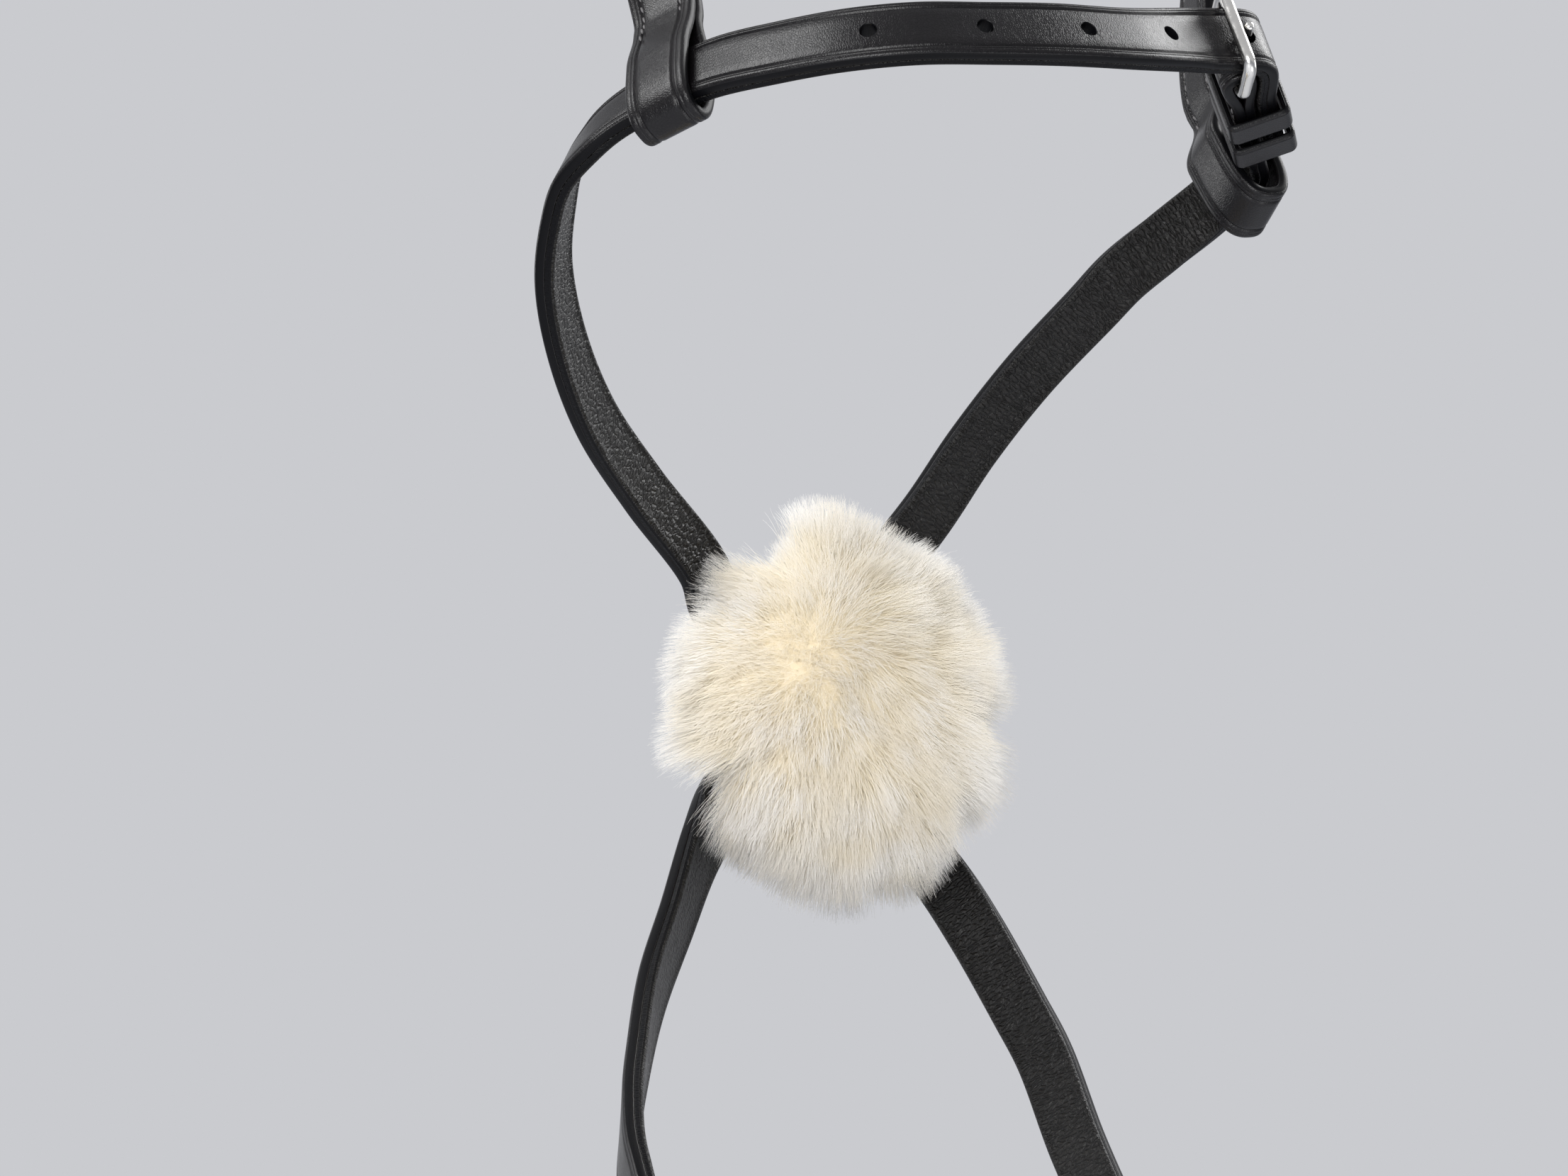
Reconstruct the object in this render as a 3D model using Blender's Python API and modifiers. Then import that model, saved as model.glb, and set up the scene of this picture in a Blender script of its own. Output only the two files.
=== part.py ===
"""Crossed bridle noseband with a sheepskin nose pad.

Metres, +Z up, +Y towards the horse's nose, -X on the horse's near (left) side.
The origin is the middle of the head strap's inner face, where it lies on the poll.
"""
import math

import bmesh
import bpy
import numpy as np
from mathutils import Matrix, Vector

# Rings, measured from the level midway between the two cheek loops
LOOP_HALF_SPAN = 0.074
NOSE_REACH = 0.076
JAW_REACH = 0.060
CROSSING_DROP = 0.116
CROSSING_TO_NEAR_SIDE = 0.003
LOOP_DEPTH_BELOW_POLL = 0.400
HEAD_TO_LOOP_SHARE = 1.2432
HEAD_HALF_WIDTH = LOOP_HALF_SPAN * HEAD_TO_LOOP_SHARE

# Leather
FLARE_SHARE = 0.6
NOSE_STRAP_WIDTH = 0.0135
JAW_STRAP_WIDTH = 0.0158
CHEEK_WIDTH = 0.0158
OUTER_PLY = 0.0024
LINING_PLY = 0.0020
CHEEK_PLY = 0.0028
PLY_GAP = 0.0003
NEAR_LOOP_CLEARANCE = 0.0016
OFF_LOOP_CLEARANCE = 0.0023
LOOP_SEAT_GAP = 0.0006
NEAR_LOOP_SET_IN = 0.0004
OFF_LOOP_SET_IN = 0.0016
LOOP_THROAT = 0.011
NEAR_LOOP_LEAN = 0.0019
OFF_LOOP_LEAN = 0.0026
NEAR_LOOP_SLIDE = 0.0022
OFF_LOOP_SLIDE = 0.0025
LOOP_LAP = 0.036
CHAPE_LAP = 0.030

# Buckles
WIRE_RADIUS = 0.0015
TONGUE_RADIUS = 0.0011
WIRE_CLEARANCE = 0.0003
BILLET_CLEARANCE = 0.00045
FRAME_SIDE_CLEARANCE = 0.0007
FRAME_CORNER = 0.0026
BAR_SWING_GAP = 0.0010
TONGUE_OVERHANG = 0.0008
SLOT_CLEARANCE = 0.0005
RAMP_LENGTH = 0.012
SLOT_REACH_SHARE = 0.55
KEEPER_LENGTH = 0.008
KEEPER_WALL = 0.0018
KEEPER_CLEARANCE = 0.0006
KEEPER_CORNER = 0.0016
FIXED_KEEPER_PLACE = 0.0175
RUNNER_PLACE = 0.0290
BILLET_TAIL = 0.038
TIP_TAPER = 0.009
TIP_NARROWING_SHARE = 0.55

# Holes
HOLE_RADIUS = 0.0019
WORKING_HOLE_RADIUS = 0.0021
HOLE_PITCH = 0.025

# Crossing
RIVET_RADIUS = 0.0020
RIVET_CLEARANCE = 0.0003
RIVET_HEAD_RADIUS = 0.0062
RIVET_HEAD_HEIGHT = 0.0024
RIVET_PEEN_RADIUS = 0.0029
RIVET_PEEN_HEIGHT = 0.0009
BURR_RADIUS = 0.0050
BURR_THICKNESS = 0.0012
NOSE_DISC_RADIUS = 0.0225
NOSE_DISC_THICKNESS = 0.0026
BACKING_RADIUS = 0.0260
BACKING_THICKNESS = 0.0024
FLAT_ZONE = 0.029
FLAT_ROW_SHARES = (1.0, 0.9, 0.45)
NEAR_STRAP_SLOPES = (math.radians(41.8), math.radians(50.0))
OFF_STRAP_SLOPES = (math.radians(124.3), math.radians(125.5))

# Sheepskin pad
PAD_WIDTH = 0.086
PAD_HEIGHT = 0.095
PAD_DEPTH = 0.033
PAD_LOWERING = 0.003
PAD_RIM_SHARE = 0.42
HIDE_RADIUS = 0.026
POCKET_RADIUS = 0.0070
POCKET_DEPTH = 0.0036

# Modelling fineness
STATION_LENGTH = 0.0055
STATION_TURN = math.radians(11)
CUT_OVERRUN = 0.004
ROUND_SIDES = 32
MERGE_DISTANCE = 0.000001
SHARP_ANGLE = math.radians(40)

# Route tables. Columns: across (share of LOOP_HALF_SPAN), along (share of NOSE_REACH in front and of
# JAW_REACH behind), up (share of CROSSING_DROP), then the compass and tilt in degrees of the outer face.
JAW_STRAP_SHARES = (
    (0.19, -0.95, 0.085, 175, 29),
    (-0.07, -1.00, 0.065, 180, 28),
    (-0.30, -0.99, 0.05, 188, 28),
    (-0.52, -0.93, 0.04, 199, 27),
    (-0.70, -0.80, 0.03, 214, 26),
    (-0.85, -0.60, 0.02, 230, 26),
    (-0.97, -0.38, 0.01, 238, 27),
)
NEAR_LOOP_SHARES = (-1.07, -0.20, -0.02, 242, 32)
NEAR_NOSE_STRAP_SHARES = (
    (-1.16, -0.06, -0.06, 252, 34),
    (-1.21, 0.02, -0.10, 268, 31),
    (-1.24, 0.12, -0.15, 288, 26),
    (-1.23, 0.21, -0.21, 300, 20),
    (-1.19, 0.33, -0.30, 312, 10),
    (-1.09, 0.46, -0.41, 320, 5),
    (-0.91, 0.63, -0.53, 327, 3),
    (-0.67, 0.79, -0.64, 334, 2),
    (-0.41, 0.91, -0.765, 344, 1),
)
NEAR_STRAP_BELOW_SHARES = (
    (0.41, 0.91, -1.345, 30, 8),
    (0.485, 0.81, -1.465, 44, 5),
    (0.56, 0.67, -1.63, 54, 0),
    (0.59, 0.57, -1.73, 58, -6),
    (0.61, 0.40, -1.92, 62, -12),
    (0.62, 0.21, -2.08, 76, -10),
)
OFF_LOOP_ENTRY_SHARES = (0.985, -0.087, 0.036, 104, 13)
OFF_LOOP_SHARES = (1.00, 0.03, 0.005, 92, 15)
OFF_NOSE_STRAP_SHARES = (
    (0.975, 0.135, -0.033, 76, 21),
    (0.87, 0.25, -0.102, 53, 29),
    (0.775, 0.36, -0.165, 30, 34),
    (0.72, 0.45, -0.22, 17, 36),
    (0.60, 0.65, -0.34, 4, 33),
    (0.485, 0.81, -0.473, -4, 25),
    (0.375, 0.92, -0.61, -6, 13),
)
OFF_STRAP_BELOW_SHARES = (
    (-0.41, 0.92, -1.33, -30, 7),
    (-0.56, 0.775, -1.49, -44, 6),
    (-0.73, 0.59, -1.655, -52, 4),
    (-0.89, 0.35, -1.82, -60, 4),
    (-1.00, 0.16, -1.94, -66, 3),
    (-1.09, -0.06, -2.07, -75, 5),
    (-1.11, -0.30, -2.19, -92, 4),
    (-0.94, -0.55, -2.25, -120, 0),
    (-0.70, -0.78, -2.30, -145, -3),
    (-0.38, -0.90, -2.33, -166, -4),
    (-0.04, -0.92, -2.33, -178, -4),
)
JAW_HINGE_SHARES = (0.64, -0.69, 0.118, 120, 18)
CHIN_HINGE_SHARES = (0.52, -0.43, -2.26, 102, -2)
# Cheek tables. Columns: across (share of HEAD_HALF_WIDTH), along (share of NOSE_REACH), up from the loops
# (share of LOOP_DEPTH_BELOW_POLL), compass and tilt of the outer face.
NEAR_CHEEK_SHARES = (
    (-0.80, 0.05, 0.085, 222, 0),
    (-0.85, 0.06, 0.150, 244, 0),
    (-0.92, 0.06, 0.250, 262, 0),
    (-0.98, 0.05, 0.360, 268, 0),
)
CHEEK_HINGE_SHARES = (-1.00, 0.04, 0.530, 270, 0)
NEAR_HEAD_SHARES = (
    (-0.75, 0.02, 0.745, 272, 28),
    (-0.62, 0.01, 0.860, 272, 42),
    (-0.45, 0.00, 0.955, 271, 62),
)
POLL_FLAT_HALF_LENGTH = 0.019
OFF_HEAD_SHARES = (
    (0.45, 0.00, 0.955, 90, 62),
    (0.70, 0.01, 0.850, 90, 38),
    (0.88, 0.02, 0.700, 90, 18),
    (0.98, 0.03, 0.530, 90, 6),
    (0.97, 0.05, 0.360, 88, 2),
    (0.88, 0.12, 0.230, 95, 2),
    (0.79, 0.19, 0.125, 97, 6),
)
# Bend of the strap round each hinge bar, and how far the frame's front bar lies past that bend
JAW_BEND = math.radians(54)
CHIN_BEND = math.radians(52)
CHEEK_BEND = math.radians(25)
LINED_BAR_PAST_BEND = math.radians(22)
CHEEK_BAR_PAST_BEND = math.radians(35)

LEATHER_BLACK = (0.018, 0.017, 0.017, 1.0)
LINING_BLACK = (0.024, 0.023, 0.022, 1.0)
WOOL_CREAM = (0.80, 0.74, 0.64, 1.0)
NICKEL = (0.78, 0.76, 0.72, 1.0)
BRASS = (0.45, 0.33, 0.15, 1.0)


def clear_scene():
    for thing in list(bpy.data.objects):
        bpy.data.objects.remove(thing, do_unlink=True)


def make_collection(name):
    group = bpy.data.collections.get(name) or bpy.data.collections.new(name)
    if name not in bpy.context.scene.collection.children:
        bpy.context.scene.collection.children.link(group)
    return group


def make_material(name, colour, roughness, metallic):
    material = bpy.data.materials.new(name)
    material.use_nodes = True
    shader = material.node_tree.nodes["Principled BSDF"]
    shader.inputs["Base Color"].default_value = colour
    shader.inputs["Roughness"].default_value = roughness
    shader.inputs["Metallic"].default_value = metallic
    return material


def facing(compass, tilt):
    """Unit vector of an outer face: compass from +Y towards +X, tilt above the level, both in degrees."""
    c, t = math.radians(compass), math.radians(tilt)
    return Vector((math.sin(c) * math.cos(t), math.cos(c) * math.cos(t), math.sin(t)))


def ring_point(row):
    """World place of a ring table's row."""
    reach = NOSE_REACH if row[1] > 0 else JAW_REACH
    up = row[2] * CROSSING_DROP - LOOP_DEPTH_BELOW_POLL
    return Vector((row[0] * LOOP_HALF_SPAN, row[1] * reach, up))


def cheek_point(row):
    """World place of a cheek table's row."""
    up = row[2] * LOOP_DEPTH_BELOW_POLL - LOOP_DEPTH_BELOW_POLL
    return Vector((row[0] * HEAD_HALF_WIDTH, row[1] * NOSE_REACH, up))


def knots(rows, place):
    return [(place(row), facing(row[3], row[4])) for row in rows]


class Path:
    """A line with a direction and an outward normal at each point, read by its length."""

    def __init__(self, points, normals):
        self.points = [Vector(p) for p in points]
        self.lengths = [0.0]
        for a, b in zip(self.points, self.points[1:]):
            self.lengths.append(self.lengths[-1] + (b - a).length)
        self.total = self.lengths[-1]
        self.chosen = None
        self.tangents = []
        last = len(self.points) - 1
        for i in range(last + 1):
            step = self.points[min(i + 1, last)] - self.points[max(i - 1, 0)]
            self.tangents.append(step.normalized())
        self.normals = []
        for normal, tangent in zip(normals, self.tangents):
            flat = Vector(normal) - tangent * tangent.dot(normal)
            self.normals.append(flat.normalized())

    def at(self, length):
        length = min(max(length, 0.0), self.total)
        i = int(np.searchsorted(self.lengths, length, side="right")) - 1
        i = min(max(i, 0), len(self.points) - 2)
        span = self.lengths[i + 1] - self.lengths[i]
        share = (length - self.lengths[i]) / span if span > 0 else 0.0
        point = self.points[i].lerp(self.points[i + 1], share)
        tangent = self.tangents[i].lerp(self.tangents[i + 1], share).normalized()
        normal = self.normals[i].lerp(self.normals[i + 1], share)
        normal = (normal - tangent * tangent.dot(normal)).normalized()
        return point, tangent, normal, normal.cross(tangent)

    def reversed(self):
        return Path(list(reversed(self.points)), list(reversed(self.normals)))

    def nearest(self, target):
        best = min(range(len(self.points)), key=lambda i: (self.points[i] - target).length)
        return self.lengths[best]


def smooth_path(rows, pieces=16):
    """Centripetal Catmull-Rom line through (place, normal) rows."""
    places = [Vector(row[0]) for row in rows]
    normals = [Vector(row[1]) for row in rows]
    places = [places[0] * 2 - places[1]] + places + [places[-1] * 2 - places[-2]]
    normals = [normals[0]] + normals + [normals[-1]]
    points, outward = [], []
    for k in range(1, len(places) - 2):
        ends = [0.0]
        for j in range(k - 1, k + 2):
            ends.append(ends[-1] + math.sqrt((places[j + 1] - places[j]).length))
        steps = pieces + (1 if k == len(places) - 3 else 0)
        for n in range(steps):
            t = ends[1] + (ends[2] - ends[1]) * n / pieces
            points.append(blend_four(places[k - 1:k + 3], ends, t))
            outward.append(blend_four(normals[k - 1:k + 3], ends, t).normalized())
    return points, outward


def blend_four(values, ends, t):
    """Barry and Goldman's form of the Catmull-Rom blend of four values at the parameters in ends."""
    level = list(values)
    for width in (1, 2, 2):
        fresh = []
        count = len(level) - 1
        for j in range(count):
            low, high = blend_span(ends, j, count, width)
            share = (t - low) / (high - low)
            fresh.append(level[j] * (1 - share) + level[j + 1] * share)
        level = fresh
    return level[0]


def blend_span(ends, j, count, width):
    if count == 3:
        return ends[j], ends[j + 1]
    if count == 2:
        return ends[j], ends[j + width]
    return ends[1], ends[2]


def smooth_step(share):
    share = min(max(share, 0.0), 1.0)
    return share * share * (3 - 2 * share)


class Buckle:
    """Local frame and heights of a buckle: hinge bar at the origin, u away from the chape, n outward."""

    def __init__(self, name, hinge_row, place, toward, width, lined, bend, bar_past_bend):
        self.name = name
        self.hinge = place(hinge_row)
        self.u = (self.hinge - toward).normalized()
        outward = facing(hinge_row[3], hinge_row[4])
        self.n = (outward - self.u * self.u.dot(outward)).normalized()
        self.w = self.u.cross(self.n)
        self.width = width
        self.bend = bend
        self.tangent_angle = math.pi / 2 - bend
        self.lift = self.tangent_angle - bar_past_bend
        self.chape_ply = OUTER_PLY if lined else CHEEK_PLY
        self.under = PLY_GAP / 2 + LINING_PLY if lined else CHEEK_PLY / 2
        self.over = PLY_GAP / 2 + OUTER_PLY if lined else CHEEK_PLY / 2
        self.chape_height = (PLY_GAP + self.chape_ply) / 2
        self.fold_radius = WIRE_RADIUS + WIRE_CLEARANCE + self.chape_ply / 2
        self.billet_radius = self.fold_radius + self.chape_ply / 2 + BILLET_CLEARANCE + self.under
        self.billet_height = self.chape_height + self.chape_ply / 2 + BILLET_CLEARANCE + self.under
        clear = self.billet_radius + self.over + BAR_SWING_GAP + WIRE_RADIUS
        self.reach = clear / math.cos(bar_past_bend)
        self.eye_radius = WIRE_RADIUS + WIRE_CLEARANCE + TONGUE_RADIUS
        self.half_frame = width / 2 + FRAME_SIDE_CLEARANCE + WIRE_RADIUS
        self.toward_bar = self.u * math.cos(self.lift) + self.n * math.sin(self.lift)
        self.off_bar = self.n * math.cos(self.lift) - self.u * math.sin(self.lift)

    def spot(self, u, n, w=0.0):
        return self.hinge + self.u * u + self.n * n + self.w * w

    def billet_ref(self, u):
        """Height of the billet's reference surface over the chape, for u at or behind the hinge bar."""
        share = smooth_step(-u / RAMP_LENGTH)
        return self.billet_radius + (self.billet_height - self.billet_radius) * share

    def billet_knots(self, approach):
        """Rows from the tip over the hinge bar to the end of the straight approach, tip first."""
        rows = []
        for k in range(25):
            u = -BILLET_TAIL + BILLET_TAIL * k / 24
            rows.append((self.spot(u, self.billet_ref(u)), self.n))
        for k in range(1, 17):
            angle = math.pi / 2 - self.bend * k / 16
            out = self.u * math.cos(angle) + self.n * math.sin(angle)
            rows.append((self.hinge + out * self.billet_radius, out))
        angle = self.tangent_angle
        out = self.u * math.cos(angle) + self.n * math.sin(angle)
        away = self.u * math.sin(angle) - self.n * math.cos(angle)
        for k in range(1, 4):
            rows.append((self.hinge + out * self.billet_radius + away * approach * k / 3, out))
        return rows

    def fold_points(self, lap):
        """Middle line of the chape's ply: end of the lap, round the bar, back to the ramp's end."""
        profile = [(-lap, -self.chape_height)]
        for k in range(7):
            share = k / 6
            height = self.chape_height + (self.fold_radius - self.chape_height) * smooth_step(share)
            profile.append((-RAMP_LENGTH * (1 - share), -height))
        for k in range(1, 12):
            angle = -math.pi / 2 + math.pi * k / 12
            profile.append((self.fold_radius * math.cos(angle), self.fold_radius * math.sin(angle)))
        for k in range(7):
            share = 1 - k / 6
            height = self.chape_height + (self.fold_radius - self.chape_height) * smooth_step(share)
            profile.append((-RAMP_LENGTH * (1 - share), height))
        return [self.spot(u, n) for u, n in profile]


def add_object(name, mesh, material, group):
    thing = bpy.data.objects.new(name, mesh)
    group.objects.link(thing)
    if material is not None:
        mesh.materials.append(material)
    return thing


def ribbon(name, stations, thickness, material, group):
    """A strip of leather along (centre, half-width vector) stations, thickened about its middle."""
    mesh = bpy.data.meshes.new(name)
    bm = bmesh.new()
    count = len(stations) - 1
    bmesh.ops.create_grid(bm, x_segments=count, y_segments=1, size=1)
    for vert in bm.verts:
        centre, half = stations[round((vert.co.x + 1) / 2 * count)]
        vert.co = centre + half * vert.co.y
    bm.to_mesh(mesh)
    bm.free()
    thing = add_object(name, mesh, material, group)
    thick = thing.modifiers.new("Thickness", 'SOLIDIFY')
    thick.thickness = thickness
    thick.offset = 0
    thick.use_even_offset = True
    return thing


def strap_width(path, loop_row):
    """Half width by length: the jaw strap's up to the cheek loop, then easing to the nose strap's."""
    start = path.nearest(ring_point(loop_row)) - CHEEK_WIDTH * FLARE_SHARE
    span = 2 * CHEEK_WIDTH * FLARE_SHARE

    def half_width(length):
        eased = smooth_step((length - start) / span)
        return (JAW_STRAP_WIDTH + (NOSE_STRAP_WIDTH - JAW_STRAP_WIDTH) * eased) / 2

    return half_width


def cheek_half_width(length):
    return CHEEK_WIDTH / 2


def chosen_lengths(path, start, end):
    """Lengths along a path that are close together where it turns and far apart where it is straight.

    They are the same for every ply on the path, but for the ply's own ends.
    """
    if path.chosen is None:
        step = STATION_LENGTH / 12
        path.chosen = [0.0]
        mark = path.at(0.0)
        for k in range(1, int(path.total / step)):
            here = path.at(step * k)
            turned = max(here[1].angle(mark[1], 0.0), here[2].angle(mark[2], 0.0))
            if step * k - path.chosen[-1] >= STATION_LENGTH or turned >= STATION_TURN:
                path.chosen.append(step * k)
                mark = here
    least = STATION_LENGTH / 6
    inner = [length for length in path.chosen if start + least < length < end - least]
    return [start] + inner + [end]


def ply_stations(path, start, end, height, half_width, tapered=False):
    """Stations of one ply that lies at a height over the path, with a pointed tip at its end if tapered."""
    stations = []
    for length in chosen_lengths(path, start, end):
        point, tangent, normal, across = path.at(length)
        half = half_width(length)
        reached = 1 - (end - length) / TIP_TAPER
        if tapered and reached > 0:
            half *= 1 - TIP_NARROWING_SHARE * reached ** 2
        stations.append((point + normal * height, across * half))
    return stations


def cut(thing, cutters):
    for cutter in cutters:
        step = thing.modifiers.new("Cut", 'BOOLEAN')
        step.operation = 'DIFFERENCE'
        step.solver = 'EXACT'
        step.object = cutter


def round_cutter(name, centre, axis, radius, length, group, sides=14):
    mesh = bpy.data.meshes.new(name)
    bm = bmesh.new()
    bmesh.ops.create_cone(bm, cap_ends=True, segments=sides, radius1=radius, radius2=radius, depth=length)
    bm.to_mesh(mesh)
    bm.free()
    thing = add_object(name, mesh, None, group)
    thing.matrix_world = Matrix.Translation(centre) @ axis.to_track_quat('Z', 'Y').to_matrix().to_4x4()
    thing.hide_render = True
    thing.display_type = 'WIRE'
    return thing


def box_cutter(name, centre, axes, size, group):
    mesh = bpy.data.meshes.new(name)
    bm = bmesh.new()
    bmesh.ops.create_cube(bm, size=1)
    bmesh.ops.scale(bm, vec=size, verts=bm.verts)
    bm.to_mesh(mesh)
    bm.free()
    thing = add_object(name, mesh, None, group)
    turn = Matrix((axes[0], axes[1], axes[2])).transposed().to_4x4()
    thing.matrix_world = Matrix.Translation(centre) @ turn
    thing.hide_render = True
    thing.display_type = 'WIRE'
    return thing


def wire_object(name, points, radius, closed, material, group, origin):
    """A wire through points in world space, with its origin on the joint's axis."""
    curve = bpy.data.curves.new(name, 'CURVE')
    curve.dimensions = '3D'
    curve.bevel_depth = radius
    curve.bevel_resolution = 2
    curve.use_fill_caps = not closed
    spline = curve.splines.new('POLY')
    spline.points.add(len(points) - 1)
    for target, point in zip(spline.points, points):
        local = Vector(point) - origin
        target.co = (local.x, local.y, local.z, 1)
    spline.use_cyclic_u = closed
    thing = bpy.data.objects.new(name, curve)
    thing.location = origin
    curve.materials.append(material)
    group.objects.link(thing)
    return thing


def rounded_outline(half_x, low_y, high_y, corner, steps=3):
    """Corner-rounded rectangle as points, anticlockwise."""
    points = []
    corners = (
        (half_x - corner, high_y - corner, 0.0),
        (corner - half_x, high_y - corner, 90.0),
        (corner - half_x, low_y + corner, 180.0),
        (half_x - corner, low_y + corner, 270.0),
    )
    for x, y, start in corners:
        for k in range(steps + 1):
            angle = math.radians(start + 90.0 * k / steps)
            points.append((x + corner * math.cos(angle), y + corner * math.sin(angle)))
    return points


def flat_outline(name, outlines, thickness, frame, material, group):
    """Extruded 2D outline with holes; frame is (centre, x axis, y axis, z axis)."""
    curve = bpy.data.curves.new(name, 'CURVE')
    curve.dimensions = '2D'
    curve.fill_mode = 'BOTH'
    curve.extrude = thickness / 2
    for outline in outlines:
        spline = curve.splines.new('POLY')
        spline.points.add(len(outline) - 1)
        for target, point in zip(spline.points, outline):
            target.co = (point[0], point[1], 0.0, 1)
        spline.use_cyclic_u = True
    thing = bpy.data.objects.new(name, curve)
    turn = Matrix((frame[1], frame[2], frame[3])).transposed().to_4x4()
    thing.matrix_world = Matrix.Translation(frame[0]) @ turn
    curve.materials.append(material)
    group.objects.link(thing)
    return thing


def circle_outline(radius, sides):
    turn = 2 * math.pi / sides
    return [(radius * math.cos(turn * k), radius * math.sin(turn * k)) for k in range(sides)]


def turned(name, profile, centre, material, group, sides=ROUND_SIDES):
    """A profile of (radius, height) pairs spun about the world's Y axis through the centre."""
    mesh = bpy.data.meshes.new(name)
    bm = bmesh.new()
    verts = [bm.verts.new((radius, height, 0.0)) for radius, height in profile]
    for a, b in zip(verts, verts[1:]):
        bm.edges.new((a, b))
    bmesh.ops.spin(bm, geom=bm.verts[:] + bm.edges[:], cent=(0, 0, 0), axis=(0, 1, 0),
                   angle=2 * math.pi, steps=sides, use_merge=True)
    bmesh.ops.remove_doubles(bm, verts=bm.verts, dist=MERGE_DISTANCE)
    bmesh.ops.recalc_face_normals(bm, faces=bm.faces)
    bm.to_mesh(mesh)
    bm.free()
    mesh.shade_smooth()
    mesh.set_sharp_from_angle(angle=SHARP_ANGLE)
    thing = add_object(name, mesh, material, group)
    thing.location = centre
    return thing


def buckle_frame(buckle, material, group):
    outline = rounded_outline(buckle.half_frame, 0.0, buckle.reach, FRAME_CORNER)
    points = [buckle.hinge + buckle.w * x + buckle.toward_bar * a for x, a in outline]
    return wire_object(buckle.name + "_buckle_frame", points, WIRE_RADIUS, True, material, group,
                       buckle.hinge)


def buckle_tongue(buckle, material, group):
    points = []
    eye = buckle.eye_radius
    for k in range(13):
        angle = math.radians(365 - 275 * k / 12)
        points.append(buckle.hinge + buckle.toward_bar * eye * math.cos(angle)
                      + buckle.off_bar * eye * math.sin(angle))
    end = buckle.reach + TONGUE_OVERHANG
    for k in range(1, 4):
        points.append(buckle.hinge + buckle.toward_bar * end * k / 3 + buckle.off_bar * eye)
    return wire_object(buckle.name + "_buckle_tongue", points, TONGUE_RADIUS, False, material, group,
                       buckle.hinge)


def keeper(buckle, name, place, material, group):
    low = -(buckle.chape_height + buckle.chape_ply / 2) - KEEPER_CLEARANCE
    high = buckle.billet_height + buckle.over + KEEPER_CLEARANCE
    half = buckle.width / 2 + KEEPER_CLEARANCE
    inner = rounded_outline(half, low, high, KEEPER_CORNER / 2)
    outer = rounded_outline(half + KEEPER_WALL, low - KEEPER_WALL, high + KEEPER_WALL, KEEPER_CORNER)
    frame = (buckle.spot(-place, 0.0), buckle.w, buckle.n, buckle.w.cross(buckle.n))
    return flat_outline(name, (outer, inner), KEEPER_LENGTH, frame, material, group)


def slot_cutter(buckle, group):
    long = RAMP_LENGTH * SLOT_REACH_SHARE + buckle.fold_radius + buckle.chape_ply
    middle = long / 2 - RAMP_LENGTH * SLOT_REACH_SHARE
    tall = 2 * (buckle.fold_radius + buckle.chape_ply)
    wide = 2 * (TONGUE_RADIUS + SLOT_CLEARANCE)
    axes = (buckle.u, buckle.n, buckle.u.cross(buckle.n))
    return box_cutter(buckle.name + "_slot_cutter", buckle.spot(middle, 0.0), axes, (long, tall, wide), group)


def tongue_hole_cutter(buckle, group):
    middle = math.sqrt(buckle.billet_radius ** 2 - buckle.eye_radius ** 2)
    centre = buckle.hinge + buckle.toward_bar * middle + buckle.off_bar * buckle.eye_radius
    long = buckle.under + buckle.over + CUT_OVERRUN
    return round_cutter(buckle.name + "_working_hole_cutter", centre, buckle.toward_bar,
                        WORKING_HOLE_RADIUS, long, group)


def hole_cutters(buckle, path, working_length, counts, group):
    """Plain adjustment holes before and behind the working one, one pitch apart along the strap."""
    cutters = []
    for k in range(-counts[0], counts[1] + 1):
        if k == 0:
            continue
        point, tangent, normal, across = path.at(working_length + k * HOLE_PITCH)
        name = "%s_hole_cutter_%d" % (buckle.name, k + counts[0])
        long = buckle.under + buckle.over + CUT_OVERRUN
        cutters.append(round_cutter(name, point, normal, HOLE_RADIUS, long, group))
    return cutters


def crossing_place(reach):
    return Vector((-CROSSING_TO_NEAR_SIDE, reach, -CROSSING_DROP - LOOP_DEPTH_BELOW_POLL))


def crossing_rows(height, slopes):
    """Flat run of a strap over the crossing; slopes are its compass turns from level before and after."""
    centre = crossing_place(NOSE_REACH + height)
    outward = Vector((0.0, 1.0, 0.0))
    before, after = [Vector((math.cos(slope), 0.0, -math.sin(slope))) for slope in slopes]
    rows = [(centre - before * FLAT_ZONE * share, outward) for share in FLAT_ROW_SHARES]
    rows.append((centre, outward))
    rows += [(centre + after * FLAT_ZONE * share, outward) for share in reversed(FLAT_ROW_SHARES)]
    return rows


def near_strap_path(jaw, chin):
    """Reference line of the strap: jaw billet tip, near loop, crossing, down to the chin hinge bar."""
    height = -(OUTER_PLY + PLY_GAP)
    billet = jaw.billet_knots(HOLE_PITCH / 2)
    rows = billet[-3:]
    rows += knots(JAW_STRAP_SHARES, ring_point)
    rows += knots((NEAR_LOOP_SHARES,), ring_point)
    rows += knots(NEAR_NOSE_STRAP_SHARES, ring_point)
    rows += crossing_rows(height, NEAR_STRAP_SLOPES)
    rows += knots(NEAR_STRAP_BELOW_SHARES, ring_point)
    straight = (chin.hinge - ring_point(NEAR_STRAP_BELOW_SHARES[-1])).length
    rows += [(chin.spot(-straight * k, 0.0), chin.n) for k in (0.9, 0.6, 0.3, 0.0)]
    points, outward = smooth_path(rows)
    head = billet[:-3]
    return Path([row[0] for row in head] + points, [row[1] for row in head] + outward)


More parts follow.
